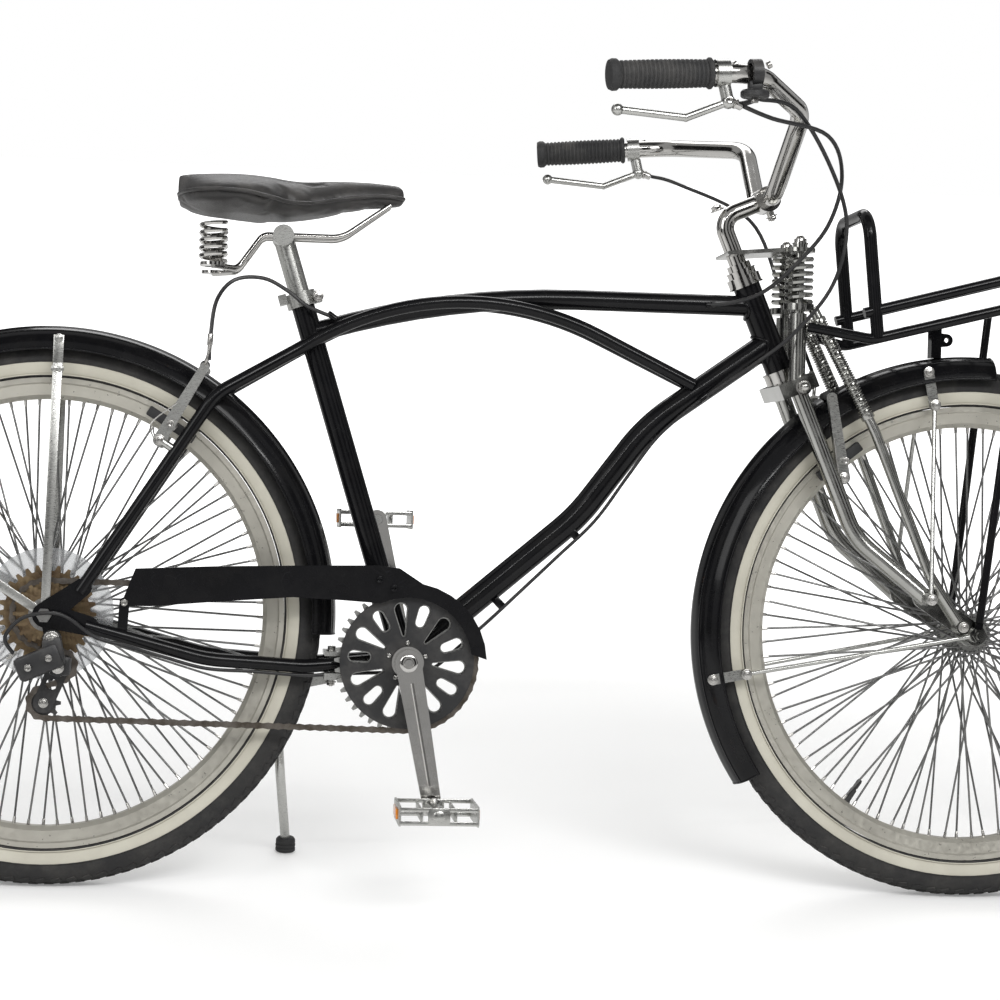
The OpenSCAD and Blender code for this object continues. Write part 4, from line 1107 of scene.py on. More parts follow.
# ribbed grips with a flange at both ends
grip = {
    "length": 0.116,
    "barRadius": 0.0111,
    "ribs": 20,
    "ribHigh": 0.0158,
    "ribLow": 0.0146,
}
barEnd = Vector((0.630, -bike["barHalf"], bike["gripHeight"] - 0.008))
barBend = Vector((0.800, -bike["barHalf"] + 0.020, bike["gripHeight"] + 0.005))
barBack = (barEnd - barBend).normalized()


def makeGrips():
    length = grip["length"]
    profile = [(grip["barRadius"], 0.0), (0.0158, 0.0), (0.0178, 0.0015), (0.0180, 0.0035), (0.0164, 0.0055)]
    span = (length - 0.014) / grip["ribs"]
    for k in range(grip["ribs"]):
        z = 0.0065 + span * k
        swell = 0.0007 * math.sin(math.pi * (k + 0.5) / grip["ribs"])
        for step, radius in ((0.0, grip["ribLow"]), (0.22, grip["ribHigh"]), (0.62, grip["ribHigh"]),
                             (0.84, grip["ribLow"])):
            profile.append((radius + swell, z + span * step))
    profile += [(0.0162, length - 0.006), (0.0180, length - 0.004), (0.0182, length + 0.001),
                (0.0166, length + 0.0044), (0.0100, length + 0.0050), (0.0, length + 0.0050)]
    left = turnedShape(profile, barEnd - barBack * length, barBack, 40)
    both = joinPieces([left, mirrored(left)], "ribbedGrips")
    finishPiece(both, "ribbedGrips", "fork", paint["gripRubber"], 40)
    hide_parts("grips")


makeGrips()
print("grips turned")

# saddle cover: a shaped pad, puffed up as cloth, with a seam and a skirt
saddle = {
    "tail": -0.130,
    "nose": 0.149,
    "cuts": 26,
    "pressure": 3.0,
    "cap": 0.007,
}
clampX = seatTop.x + seatDir.x * (0.470 - 0.398) / seatDir.z - 0.0
clampPoint = mm(296, 0, 398) + seatDir * ((0.470 - 0.398) / seatDir.z)


def saddleHalf(x):
    # half width along the length, from the tail to the nose
    marks = [(-0.130, 0.030), (-0.122, 0.066), (-0.105, 0.092), (-0.080, 0.107), (-0.050, 0.106),
             (-0.020, 0.092), (0.010, 0.070), (0.040, 0.050), (0.075, 0.036), (0.110, 0.028),
             (0.135, 0.023), (0.149, 0.012)]
    for (xa, wa), (xb, wb) in zip(marks, marks[1:]):
        if x <= xb:
            t = max(0.0, (x - xa) / (xb - xa))
            t = t * t * (3 - 2 * t) if wb < wa else t
            return wa + (wb - wa) * t
    return marks[-1][1]


def saddleCrown(x):
    return -0.004 - 0.010 * math.exp(-((x - 0.02) / 0.05) ** 2) - 0.05 * max(0.0, x - 0.125) ** 1.0


def makeSaddle():
    clearSelection()
    bpy.ops.mesh.primitive_cube_add(size=2, location=(0, 0, 0))
    pad = bpy.context.object
    bpy.ops.object.mode_set(mode="EDIT")
    bpy.ops.mesh.select_all(action="SELECT")
    bpy.ops.mesh.subdivide(number_cuts=saddle["cuts"])
    bpy.ops.object.mode_set(mode="OBJECT")
    length = saddle["nose"] - saddle["tail"]
    for vert in pad.data.vertices:
        u, v, w = vert.co
        x = saddle["tail"] + length * (u + 1) / 2
        half = saddleHalf(x) - 0.004
        ease = math.sqrt(max(0.0, 1 - abs(v) ** 3.2 * 0.5))
        thick = 0.030 if x < 0 else 0.030 - 0.008 * min(1, x / 0.12)
        low = saddleCrown(x) - thick - (0.010 if x < -0.02 else 0.004)
        top = saddleCrown(x) - 0.018 * abs(v) ** 2.4 * (1.0 if x < 0 else 0.8)
        z = low + (top - low) * (w + 1) / 2
        bulge = 1 - 0.10 * (abs(w) ** 2)
        vert.co = (x, v * half * bulge * (0.97 + 0.03 * ease), z)
    makeActive(pad)
    pad.data.transform(Matrix.Translation((clampPoint.x, 0, bike["saddleHeight"])))
    remesh = pad.modifiers.new("even", "REMESH")
    remesh.mode = "VOXEL"
    remesh.voxel_size = 0.0045
    bpy.ops.object.modifier_apply(modifier="even")
    relax = pad.modifiers.new("relax", "SMOOTH")
    relax.iterations = 6
    bpy.ops.object.modifier_apply(modifier="relax")
    puffPad(pad)
    fine = pad.modifiers.new("fine", "SUBSURF")
    fine.levels = fine.render_levels = 1
    bpy.ops.object.modifier_apply(modifier="fine")
    for vert in pad.data.vertices:
        # two sewn channels run from the tail to the waist
        x = vert.co.x - clampPoint.x
        top = vert.normal.z > 0.2
        for centreY in (-0.030, 0.030):
            if top and -0.118 < x < 0.05:
                off = abs(vert.co.y - centreY * (1 - max(0, x) * 9))
                if off < 0.0055:
                    vert.co.z -= 0.0022 * (1 - (off / 0.0055) ** 2)
    return pad


def puffPad(pad):
    start = [v.co.copy() for v in pad.data.vertices]
    cloth = pad.modifiers.new("puff", "CLOTH")
    cloth.settings.use_pressure = True
    cloth.settings.uniform_pressure_force = saddle["pressure"]
    cloth.settings.effector_weights.gravity = 0
    cloth.settings.quality = 4
    cloth.settings.mass = 0.3
    for number in range(1, 13):
        bpy.context.scene.frame_set(number)
    depsgraph = bpy.context.evaluated_depsgraph_get()
    puffed = [v.co.copy() for v in pad.evaluated_get(depsgraph).data.vertices]
    pad.modifiers.remove(cloth)
    bpy.context.scene.frame_set(1)
    for vert, before, after in zip(pad.data.vertices, start, puffed):
        move = after - before
        if move.length > saddle["cap"]:
            move = move.normalized() * saddle["cap"]
        vert.co = before + move
    pad.data.update()


def makeSaddleParts():
    pad = makeSaddle()
    finishPiece(pad, "saddlePad", "frame", paint["padLeather"], 0)
    bpy.ops.object.shade_smooth()
    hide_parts("saddle")
    rim, stitches = [], []
    for k in range(61):
        u = k / 60
        x = saddle["tail"] + 0.001 + (saddle["nose"] - saddle["tail"] - 0.003) * u
        half = saddleHalf(x) - 0.004
        low = saddleCrown(x) - (0.030 if x < 0 else 0.030 - 0.008 * min(1, x / 0.12))
        rim.append(Vector((clampPoint.x + x, -half, bike["saddleHeight"] + low + 0.004)))
    loop = rim + [Vector((p.x, -p.y, p.z)) for p in reversed(rim)]
    piping = tubeAlong(loop, 0.0024, 3, closed=True)
    finishPiece(piping, "saddlePiping", "frame", paint["padLeather"], 60)


makeSaddleParts()
print("saddle padded")


# brakes: bent cable tubes, rubber boots, pads and their nuts
brake = {
    "padLong": 0.066,
    "padHigh": 0.0125,
    "padDeep": 0.0125,
    "padInner": 0.0195,
}


def makeBrakeTrim(name, body, centre, padAngle, padRadius, top, pivot, route):
    metal, rubber = [], []
    metal.append(tubeAlong(smoothPath(route, 8), 0.0024, 3))
    metal.append(roundBar(route[0] + (route[1] - route[0]).normalized() * -0.004,
                          route[0] + (route[1] - route[0]).normalized() * 0.010, 0.0034, 16, 0.0006))
    boot = [(0.0, 0.0), (0.0032, 0.0)]
    for k in range(7):
        boot += [(0.0062 - 0.0003 * k, 0.002 + 0.0045 * k), (0.0040, 0.0042 + 0.0045 * k)]
    boot += [(0.0026, 0.036), (0.0, 0.036)]
    rubber.append(turnedShape(boot, Vector((top.x, -0.030, top.z + 0.003)), (0, 1, 0), 20))
    for side in (-1, 1):
        pad = around(centre, padRadius, padAngle)
        block = roundBox((0, 0, 0), (brake["padLong"], brake["padDeep"], brake["padHigh"]), 0.0016)
        block.data.transform(Matrix.Rotation(math.radians(-padAngle - 90), 4, "Y"))
        block.data.transform(Matrix.Translation((pad.x, side * (brake["padInner"] + brake["padDeep"] / 2),
                                                 pad.z)))
        rubber.append(block)
        for low, high, radius in ((0.0318, 0.0352, 0.0082), (0.0352, 0.0385, 0.0070)):
            metal.append(roundBar((pad.x, side * low, pad.z), (pad.x, side * high, pad.z), radius, 20, 0.0006))
        metal.append(copyOf(capScrewShape, standAt((pad.x, side * 0.0592, pad.z), (0, side, 0))))
        metal.append(copyOf(hexBoltShape, standAt((pivot.x, side * 0.0552, pivot.z), (0, side, 0))
                            @ Matrix.Scale(0.9, 4)))
        spring = [Vector((pivot.x - 0.006, side * 0.058, pivot.z)),
                  Vector((pivot.x - 0.010, side * 0.058, pivot.z + 0.02)),
                  Vector(((pivot.x + top.x) / 2 - 0.006, side * 0.0575, (pivot.z + top.z) / 2))]
        metal.append(tubeAlong(smoothPath(spring, 6), 0.0009, 1))
    metal.append(copyOf(hexBoltShape, standAt((top.x, 0.0555, top.z), (0, 1, 0)) @ Matrix.Scale(0.8, 4)))
    finishPiece(joinPieces(metal, name + "Metal"), name + "Metal", body, paint["threadSteel"], 40)
    finishPiece(joinPieces(rubber, name + "Rubber"), name + "Rubber", body,
                paint["brakeRubber"], 40)


makeBrakeTrim("rearBrake", "frame", rearAxle, 58.5, 0.274, mm(182, 0, 304), mm(130, 0, 214),
              [mm(188, -59, 340), mm(187, -60, 322), mm(184, -58, 311), mm(182, -50, 307), mm(182, -34, 307)])
makeBrakeTrim("frontBrake", "fork", frontAxle, 129, 0.274, mm(958, 0, 292), mm(975, 0, 192),
              [mm(957, 60, 326), mm(961, 62, 310), mm(960, 58, 299), mm(958, 50, 295), mm(958, 34, 295)])
print("brakes trimmed")

# pedals: an alloy cage with a toothed edge, a barrel and side lenses
pedalShape = {
    "long": 0.092,
    "wide": 0.094,
    "high": 0.024,
    "sheet": 0.0026,
    "inner": 0.100,
}


def toothedPlate(length, height, teeth, thick):
    outline = [(-length / 2, -height / 2 + 0.003), (-length / 2, height / 2 - 0.003)]
    for k in range(teeth):
        x = -length / 2 + length * (k + 0.5) / teeth
        half = length / teeth / 2
        outline += [(x - half * 0.6, height / 2 - 0.003), (x - half * 0.25, height / 2),
                    (x + half * 0.25, height / 2), (x + half * 0.6, height / 2 - 0.003)]
    outline.append((length / 2, height / 2 - 0.003))
    outline.append((length / 2, -height / 2 + 0.003))
    for k in reversed(range(teeth)):
        x = -length / 2 + length * (k + 0.5) / teeth
        half = length / teeth / 2
        outline += [(x + half * 0.6, -height / 2 + 0.003), (x + half * 0.25, -height / 2),
                    (x - half * 0.25, -height / 2), (x - half * 0.6, -height / 2 + 0.003)]
    n = len(outline)
    mesh = bpy.data.meshes.new("toothedPlate")
    mesh.from_pydata([(0, u, w) for u, w in outline], [], [list(range(n))])
    plate = bpy.data.objects.new("toothedPlate", mesh)
    bpy.context.collection.objects.link(plate)
    makeActive(plate)
    wall = plate.modifiers.new("wall", "SOLIDIFY")
    wall.thickness = thick
    wall.offset = 0
    bpy.ops.object.modifier_apply(modifier="wall")
    return plate


def makePedal(name, centre, side, body, node):
    middle = side * (pedalShape["inner"] + pedalShape["wide"] / 2)
    half, wide, high = pedalShape["long"] / 2, pedalShape["wide"], pedalShape["high"]
    metal, lens = [], []
    for x in (-half, half):
        plate = toothedPlate(wide, high, 8, pedalShape["sheet"])
        plate.data.transform(Matrix.Translation((centre.x + x, middle, centre.z)))
        metal.append(plate)
    for y in (-wide / 2 + 0.0013, wide / 2 - 0.0013):
        for z in (-high / 2 + 0.004, high / 2 - 0.004):
            metal.append(roundBox((centre.x, middle + y, centre.z + z), (half * 2, 0.0026, 0.005), 0.0008))
        metal.append(roundBox((centre.x, middle + y, centre.z), (0.026, 0.003, high - 0.004), 0.001))
    for x in (-0.020, 0.020):
        metal.append(roundBox((centre.x + x, middle, centre.z), (0.0026, wide - 0.004, high * 0.62), 0.0008))
    start, end = side * 0.0985, side * (pedalShape["inner"] + wide + 0.001)
    barrel = [(0.0, 0.0), (0.0095, 0.0), (0.0112, 0.002), (0.0112, 0.012), (0.0090, 0.016),
              (0.0078, 0.03), (0.0078, 0.060), (0.0088, 0.072), (0.0105, 0.078), (0.0108, 0.090),
              (0.0090, 0.0945), (0.0060, 0.0965), (0.0, 0.0968)]
    metal.append(turnedShape(barrel, Vector((centre.x, start, centre.z)), (0, side, 0), 28))
    metal.append(roundBar((centre.x, side * 0.0725, centre.z), (centre.x, side * 0.099, centre.z), 0.0064, 20))
    clearSelection()
    bpy.ops.mesh.primitive_cylinder_add(vertices=6, radius=0.0092, depth=0.006,
                                        location=(centre.x, side * 0.0915, centre.z),
                                        rotation=(math.radians(90), 0, 0))
    metal.append(bpy.context.object)
    bakePlace(metal[-1])
    for x in (-1, 1):
        lens.append(roundBox((centre.x + x * (half + 0.0022), middle, centre.z), (0.003, 0.052, 0.012), 0.001))
    finishPiece(joinPieces(metal, name), name, body, paint["satinAlloy"], 35)
    finishPiece(joinPieces(lens, name + "Lens"), name + "Lens", body, paint["amberLens"], 35)
    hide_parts(node)


crankSwing = math.radians(bike["crankTurn"])
crankReach = Vector((math.sin(crankSwing), 0, -math.cos(crankSwing))) * bike["crankLength"]
makePedal("rightPedal", bottomBracket + crankReach, -1, "right_pedal", "pedal_right")
makePedal("leftPedal", bottomBracket - crankReach, 1, "left_pedal", "pedal_left")
print("pedals built")

# chain wheel bolts, crank caps and a bead along each arm
crankTrim = {
    "boltCircle": 0.0235,
    "bolts": 5,
    "capRadius": 0.0108,
}


def makeCrankTrim():
    metal = []
    for k in range(crankTrim["bolts"]):
        spot = around(bottomBracket, crankTrim["boltCircle"], 90 + 72 * k, -0.0570)
        metal.append(copyOf(capScrewShape, standAt(spot, rightSide) @ Matrix.Scale(0.62, 4)))
    for side in (-1, 1):
        cap = [(0.0, 0.0026), (0.0050, 0.0024), (0.0060, 0.0010), (0.0092, 0.0010),
               (crankTrim["capRadius"], 0.0), (0.0, -0.001)]
        metal.append(turnedShape(cap, Vector((bottomBracket.x, side * 0.090, bottomBracket.z)),
                                 (0, side, 0), 28))
        reach = crankReach * (1 if side < 0 else -1)
        start = bottomBracket + reach * 0.14 + Vector((0, side * 0.0862, 0))
        end = bottomBracket + reach * 0.86 + Vector((0, side * 0.0862, 0))
        metal.append(tubeAlong([start.lerp(end, t / 12) for t in range(13)], 0.0022, 3))
        boss = bottomBracket + reach + Vector((0, side * 0.0858, 0))
        ring = [(0.0068, 0.0), (0.0068, 0.0014), (0.0110, 0.0014), (0.0122, 0.0), (0.0068, 0.0)]
        metal.append(turnedShape(ring, boss, (0, side, 0), 28))
    finishPiece(joinPieces(metal, "crankTrim"), "crankTrim", "crankset", paint["chrome"], 40)


makeCrankTrim()

# rear gear: casing, springs, screws, lock ring and outer nut faces
gear = {
    "casing": (0.056, 0.013, 0.030),
}


def makeGearTrim():
    black = [roundBox((-0.004, -0.0895, -0.056), gear["casing"], 0.0052, (0, math.radians(-24), 0)),
             roundBox((0.013, -0.0880, -0.043), (0.024, 0.010, 0.034), 0.0042, (0, math.radians(-12), 0)),
             roundBox((0.020, -0.0715, -0.060), (0.026, 0.022, 0.024), 0.005)]
    metal = [copyOf(hexBoltShape, standAt(mm(10, -84, -28), rightSide) @ Matrix.Scale(1.3, 4)),
             copyOf(capScrewShape, standAt(mm(-16, -96, -62), rightSide)),
             copyOf(capScrewShape, standAt(mm(8, -96, -50), rightSide)),
             copyOf(hexBoltShape, standAt(mm(18, -83, -62), rightSide)),
             copyOf(hexBoltShape, standAt(mm(18, -52.6, -62), rightSide) @ Matrix.Scale(0.6, 4)),
             copyOf(hexBoltShape, standAt(mm(0, -52.6, -107), rightSide) @ Matrix.Scale(0.8, 4))]
    coil = [Vector((0.018 + 0.0112 * math.cos(k * 0.7), -0.0562 - 0.00028 * k, -0.062
                    + 0.0112 * math.sin(k * 0.7))) for k in range(46)]
    metal.append(tubeAlong(coil, 0.0008, 1))
    for x, z in ((-30, -44), (-33, -48)):
        metal.append(roundBar(mm(x, -90, z), mm(x - 9, -90, z - 4), 0.0016, 12))
    housing = smoothPath([mm(92, -78, -33), mm(60, -84, -24), mm(20, -92, 2), mm(-22, -95, -2),
                          mm(-44, -93, -26), mm(-34, -90, -46)], 7)
    cable = tubeAlong(housing, 0.0024, 3)
    lock = [(0.0150, 0.0), (0.0150, 0.0022), (0.0200, 0.0022), (0.0206, 0.0), (0.0150, 0.0)]
    ring = turnedShape(lock, mm(0, -61, 0), rightSide, 36)
    finishPiece(joinPieces(black, "gearCasing"), "gearCasing", "frame",
                paint["blackPlastic"], 40)
    finishPiece(joinPieces(metal, "gearScrews"), "gearScrews", "frame", paint["threadSteel"], 40)
    finishPiece(cable, "gearHousing", "frame", paint["cableJacket"], 60)
    finishPiece(ring, "cogLockRing", "rear_wheel", paint["steel"], 40)


makeGearTrim()
print("drive trimmed")

# stem and headset details and lever adjusters
cockpit = {
    "adjusterLong": 0.016,
}
leverAt = barEnd - barBack * (grip["length"] + 0.012)


def makeCockpitTrim():
    quillTop = onSteer(150)
    metal = [copyOf(hexBoltShape, standAt(quillTop + steerUp * 0.0100, steerUp) @ Matrix.Scale(1.2, 4)),
             copyOf(hexBoltShape, standAt(barClamp - steerUp * 0.0212, -steerUp))]
    for t, radius, high in ((58, 0.0222, 0.0022), (70, 0.0212, 0.0014), (78, 0.0190, 0.0018),
                            (-58, 0.0222, -0.0022), (-70, 0.0212, -0.0016)):
        ring = [(0.0150, 0.0), (radius, 0.0), (radius, abs(high)), (0.0150, abs(high)), (0.0150, 0.0)]
        metal.append(turnedShape(ring, onSteer(t if high > 0 else t - abs(high)), steerUp, 40))
    for side in (-1, 1):
        at = Vector((leverAt.x, side * abs(leverAt.y), leverAt.z))
        aim = Vector((0.6, side * -0.12, -0.25)).normalized()
        barrel = [(0.0, 0.0), (0.0048, 0.0), (0.0048, 0.006), (0.0060, 0.0065), (0.0060, 0.0085),
                  (0.0048, 0.0090), (0.0044, 0.0150), (0.0034, 0.0160), (0.0, 0.0160)]
        metal.append(turnedShape(barrel, at + Vector((0.010, 0, -0.031)), aim, 18))
        metal.append(copyOf(capScrewShape, standAt(at + Vector((0.008, side * 0.0078, -0.032)), (0, side, 0))))
        metal.append(copyOf(capScrewShape, standAt(at + Vector((0.0135, 0, 0.009)), (0.8, 0, 0.6))))
    finishPiece(joinPieces(metal, "cockpitTrim"), "cockpitTrim", "fork", paint["chrome"], 40)


makeCockpitTrim()

# cables: one to the front brake, and two that cross from the bars to the frame
cables = {
    "radius": 0.0025,
    "wire": 0.0008,
}


def makeCables():
    left = smoothPath([Vector((leverAt.x + 0.026, -leverAt.y - 0.002, leverAt.z - 0.036)),
                       Vector((leverAt.x + 0.062, -leverAt.y - 0.020, leverAt.z - 0.048)), mm(905, 230, 540),
                       mm(925, 120, 440), mm(945, 75, 368), mm(957, 60, 330)], 8)
    front = tubeAlong(left, cables["radius"], 3)
    finishPiece(front, "frontBrakeCable", "fork", paint["cableJacket"], 60)
    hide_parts("front_cables")
    loops = [("rearBrakeLoop", [Vector((leverAt.x + 0.026, leverAt.y + 0.002, leverAt.z - 0.036)),
                                Vector((leverAt.x + 0.066, leverAt.y + 0.030, leverAt.z - 0.044)),
                                mm(905, -216, 592), mm(944, -130, 556), mm(938, -88, 500), mm(900, -72, 450),
                                mm(868, -50, 420), mm(838, -30, 408), mm(806, -13, 404)]),
             ("gearLoop", [Vector((leverAt.x + 0.052, leverAt.y + 0.034, leverAt.z - 0.022)),
                           Vector((leverAt.x + 0.100, leverAt.y + 0.060, leverAt.z - 0.028)),
                           mm(915, -190, 560), mm(956, -112, 500), mm(948, -84, 430), mm(905, -70, 370),
                           mm(860, -46, 330), mm(828, -26, 306), mm(800, -17, 286)])]
    for name, route in loops:
        loop = tubeAlong(smoothPath(route, 8), cables["radius"], 3)
        finishPiece(loop, name, None, paint["cableJacket"], 60)
        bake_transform(loop)
    along = [mm(452, -26, -62), mm(400, -30, -64), mm(352, -34, -66), mm(312, -42, -68), mm(250, -49, -64),
             mm(193, -56, -61), mm(140, -66, -47), mm(92, -78, -33)]
    stayCable = tubeAlong(smoothPath(along, 8), cables["radius"] * 0.9, 3)
    finishPiece(stayCable, "stayCable", "frame", paint["cableJacket"], 60)
    below = [mm(800, -17, 286), mm(772, -14, 262), mm(742, -12, 232), mm(708, -12, 184), mm(670, -12, 130),
             mm(622, -12, 82), mm(572, -12, 33), mm(540, -12, 2), mm(500, -16, -34), mm(474, -22, -56), mm(452, -26, -62)]
    downCable = tubeAlong(smoothPath(below, 8), cables["radius"] * 0.9, 3)
    finishPiece(downCable, "downTubeCable", "frame", paint["cableJacket"], 60)
    stops = []
    for place, aim in ((mm(806, -13, 404), (1, 0, 0.1)), (mm(338, -19.5, 371.5), (-0.7, 0, 0.5)),
                       (mm(800, -17, 286), (0.8, 0, 0.7))):
        stops.append(turnedShape([(0.0, -0.003), (0.0040, -0.003), (0.0040, 0.008), (0.0032, 0.0095),
                                  (0.0, 0.0095)], place, aim, 18))
    for x, z, tilt in ((742, 232, 54), (648, 106, 45), (556, 18, 45)):
        stops.append(roundBox(mm(x - 3, -10, z + 6), (0.010, 0.005, 0.016), 0.0014, (0, math.radians(-tilt), 0)))
    finishPiece(joinPieces(stops, "cableStops"), "cableStops", "frame", paint["glossBlack"], 40)


makeCables()
print("cables run")

# side stand: rubber foot
stand = {
    "foot": (0.300, 0.150),
}


def makeStandTrim():
    lean = bike["lean"]
    footX, footY = stand["foot"]
    footZ = (footY * math.sin(lean) - axleHeight) / math.cos(lean)
    ground = parked @ Vector((footX, footY, footZ))
    profile = [(0.0, 0.0002), (0.0108, 0.0002), (0.0128, 0.0016), (0.0128, 0.0050), (0.0118, 0.0060),
               (0.0128, 0.0072), (0.0128, 0.0100), (0.0118, 0.0110), (0.0126, 0.0122), (0.0124, 0.0160),
               (0.0105, 0.0185), (0.0070, 0.0195), (0.0, 0.0195)]
    foot = turnedShape(profile, parked.inverted() @ Vector((ground.x, ground.y, 0)),
                       parked.inverted().to_3x3() @ Vector((0, 0, 1)), 28)
    finishPiece(foot, "standFoot", "side_stand", paint["brakeRubber"], 40)


makeStandTrim()
print("stand trimmed")


# flat straps for the rear fender, with their plates and eyes
strap = {
    "angles": (89, 148),
    "width": 0.011,
    "thick": 0.0024,
    "plateWidth": 0.0125,
    "top": 0.338,
    "bend": 0.288,
    "eye": 0.0078,
}


def flatBar(start, end, width, thick, bevel=0.0006):
    along = end - start
    bar = roundBox((0, 0, 0), (width, thick, along.length), bevel)
    up = along.normalized()
    deep = (Vector((0, 1, 0)) - up * up.y).normalized()
    across = deep.cross(up)
    turn = Matrix((across, deep, up)).transposed().to_4x4()
    bar.data.transform(Matrix.Translation((start + end) / 2) @ turn)
    return bar


def makeStraps():
    metal = []
    for side in (-1, 1):
        for a in strap["angles"]:
            plateY, barY, footY = side * 0.0400, side * 0.0424, side * 0.0668
            metal.append(flatBar(around(rearAxle, strap["bend"], a, plateY),
                                 around(rearAxle, strap["top"], a, plateY), strap["plateWidth"], 0.0018))
            metal.append(flatBar(around(rearAxle, 0.014, a, footY), around(rearAxle, 0.304, a, barY),
                                 strap["width"], strap["thick"]))
            for turn in (-0.62, 0.62):
                spot = around(rearAxle, 0.2965, a + turn, side * 0.0436)
                metal.append(copyOf(hexBoltShape, standAt(spot, (0, side, 0)) @ Matrix.Scale(0.62, 4)))
            spot = around(rearAxle, 0.334, a, side * 0.0409)
            metal.append(copyOf(hexBoltShape, standAt(spot, (0, side, 0)) @ Matrix.Scale(0.7, 4)))
        ring = [(0.0051, 0.0), (strap["eye"] + 0.002, 0.0), (strap["eye"] + 0.002, strap["thick"]),
                (0.0051, strap["thick"]), (0.0051, 0.0)]
        metal.append(turnedShape(ring, Vector((0, side * 0.0656, 0)), (0, side, 0), 36))
    straps = joinPieces(metal, "rearFenderStraps")
    finishPiece(straps, "rearFenderStraps", "frame", paint["satinAlloy"], 40)
    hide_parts("rear_fender_stays")


makeStraps()
print("fender straps made")

# tight wound sleeves on the thin front legs
sleeve = {
    "start": (0.933, 0.040, 0.403),
    "end": (1.013, 0.056, 0.250),
    "from": 0.12,
    "to": 0.86,
    "radius": 0.0075,
    "wire": 0.0012,
    "pitch": 0.0031,
}


def makeSleeves():
    parts = []
    for side in (-1, 1):
        top = Vector((sleeve["start"][0], side * sleeve["start"][1], sleeve["start"][2]))
        low = Vector((sleeve["end"][0], side * sleeve["end"][1], sleeve["end"][2]))
        begin, stop = top.lerp(low, sleeve["from"]), top.lerp(low, sleeve["to"])
        axis = (stop - begin).normalized()
        across = axis.orthogonal().normalized()
        other = axis.cross(across)
        length = (stop - begin).length
        turns = length / sleeve["pitch"]
        count = int(turns * 12)
        parts.append(tubeAlong([begin + axis * (length * k / count)
                                + (across * math.cos(2 * math.pi * turns * k / count)
                                   + other * math.sin(2 * math.pi * turns * k / count)) * sleeve["radius"]
                                for k in range(count + 1)], sleeve["wire"], 1))
        for end, way in ((begin, -axis), (stop, axis)):
            cap = [(0.0066, 0.0), (0.0088, 0.0), (0.0088, 0.0052), (0.0080, 0.0062), (0.0066, 0.0062),
                   (0.0066, 0.0)]
            parts.append(turnedShape(cap, end, way, 24))
    finishPiece(joinPieces(parts, "legSleeves"), "legSleeves", "fork", paint["wornChrome"], 50)


makeSleeves()
print("fork legs sleeved")


# thumb shifter on the right of the bars, with its clamp and lever
shifter = {
    "clampOut": 0.0155,
    "clampWide": 0.012,
    "from": 0.168,
    "dial": 0.0165,
}


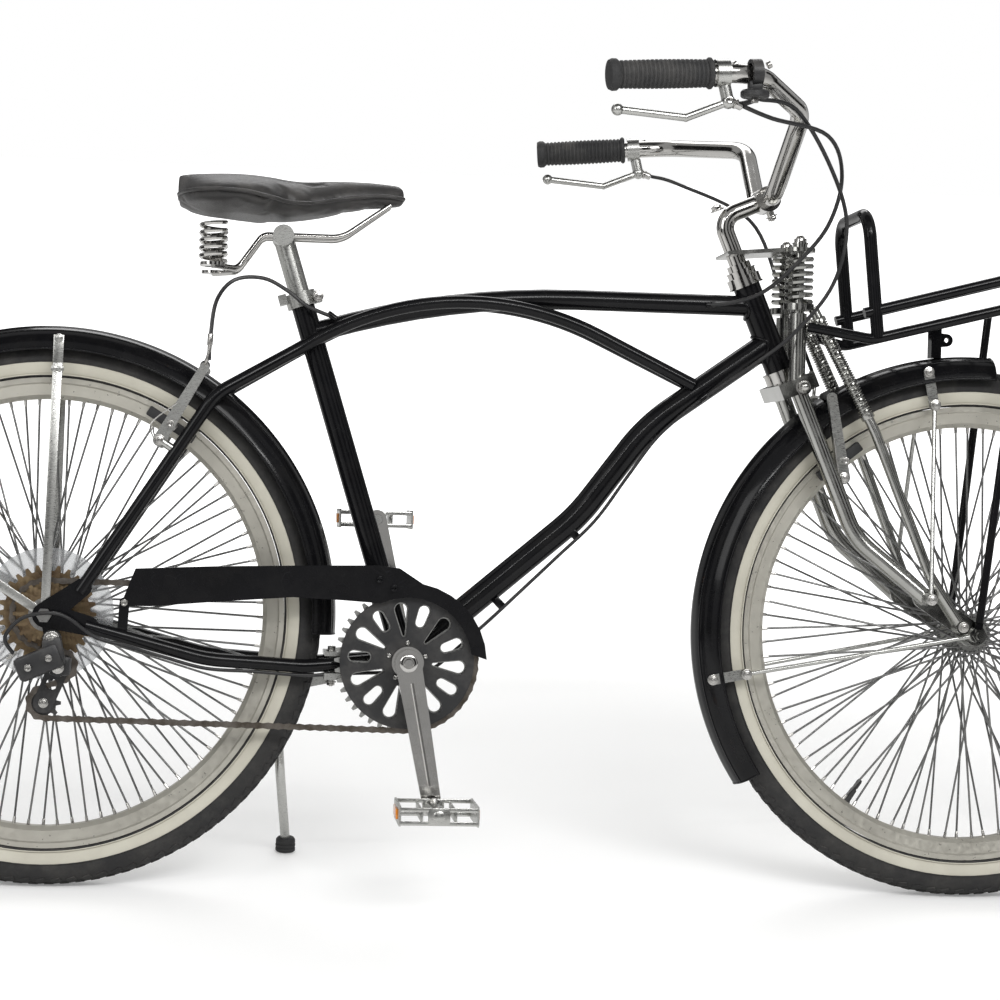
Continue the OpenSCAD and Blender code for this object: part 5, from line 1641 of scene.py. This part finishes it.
def makeShifter():
    spot = barEnd - barBack * shifter["from"]
    spot = Vector((spot.x, -abs(spot.y), spot.z))
    aim = Vector((barBack.x, -abs(barBack.y), barBack.z)).normalized()
    ring = [(0.0112, 0.0), (shifter["clampOut"], 0.0), (shifter["clampOut"], shifter["clampWide"]),
            (0.0112, shifter["clampWide"]), (0.0112, 0.0)]
    black = [turnedShape(ring, spot - aim * shifter["clampWide"] / 2, aim, 32)]
    down = Vector((0, 0, -1))
    hang = spot + down * 0.020
    body = [(0.0, 0.0), (shifter["dial"] - 0.002, 0.0), (shifter["dial"], 0.002), (shifter["dial"], 0.007),
            (shifter["dial"] - 0.0015, 0.0085), (0.0, 0.0095)]
    black.append(turnedShape(body, hang, down, 36))
    black.append(roundBox(tuple(spot + down * 0.016), (0.016, 0.014, 0.012), 0.002))
    thumb = [hang + down * 0.006 + Vector((0.010, 0.002, 0)), hang + down * 0.008 + Vector((0.004, 0.014, 0)),
             hang + down * 0.010 + Vector((-0.004, 0.028, 0)), hang + down * 0.011 + Vector((-0.012, 0.036, 0))]
    black.append(tubeAlong(smoothPath(thumb, 6), 0.0032, 3))
    black.append(roundBox(tuple(thumb[-1]), (0.013, 0.012, 0.005), 0.002))
    metal = [copyOf(capScrewShape, standAt(hang + down * 0.0093, down)),
             copyOf(capScrewShape, standAt(spot + Vector((0.0135, 0, 0.0085)), (0.85, 0, 0.5)))]
    finishPiece(joinPieces(black, "thumbShifter"), "thumbShifter", "fork",
                paint["blackPlastic"], 40)
    finishPiece(joinPieces(metal, "shifterScrews"), "shifterScrews", "fork", paint["threadSteel"], 40)


makeShifter()

# bearing cups, rack bolts and the side stand's torsion spring
smallParts = {
    "cupOut": 0.0212,
    "cupIn": 0.0110,
    "cupFrom": 0.0362,
    "cupLong": 0.0042,
}


def makeSmallParts():
    cups = []
    for side in (-1, 1):
        ring = [(smallParts["cupIn"], 0.0), (smallParts["cupOut"], 0.0),
                (smallParts["cupOut"], smallParts["cupLong"] - 0.001),
                (smallParts["cupOut"] - 0.001, smallParts["cupLong"]), (smallParts["cupIn"], smallParts["cupLong"]),
                (smallParts["cupIn"], 0.0)]
        cups.append(turnedShape(ring, bottomBracket + Vector((0, side * smallParts["cupFrom"], 0)),
                                (0, side, 0), 40))
        for k in range(6):
            spot = around(bottomBracket, smallParts["cupOut"] - 0.003, 60 * k + 15,
                          side * (smallParts["cupFrom"] + smallParts["cupLong"] - 0.0006))
            cups.append(roundBar(spot, spot + Vector((0, side * 0.0012, 0)), 0.0017, 12))
    finishPiece(joinPieces(cups, "bearingCups"), "bearingCups", "frame", paint["steel"], 40)
    axis = Vector((-0.035, 0.998, 0.042)).normalized()
    pivot = mm(280, 50, -88)
    across = axis.orthogonal().normalized()
    other = axis.cross(across)
    coil = [pivot + axis * (-0.0098 + 0.0000155 * k * 10) + (across * math.cos(k * 0.4)
            + other * math.sin(k * 0.4)) * 0.0108 for k in range(64)]
    finishPiece(tubeAlong(coil, 0.0013, 2), "standSpring", "frame", paint["steel"], 60)
    bolts = [copyOf(hexBoltShape, standAt(mm(929, -40 * side, 384.5), (0, 0, 1)) @ Matrix.Scale(0.8, 4))
             for side in (-1, 1)]
    finishPiece(joinPieces(bolts, "rackBolts"), "rackBolts", "fork", paint["threadSteel"], 40)


makeSmallParts()
print("small parts made")


for template in (hexBoltShape, capScrewShape, domeNutShape, rivetShape):
    bpy.data.objects.remove(template)
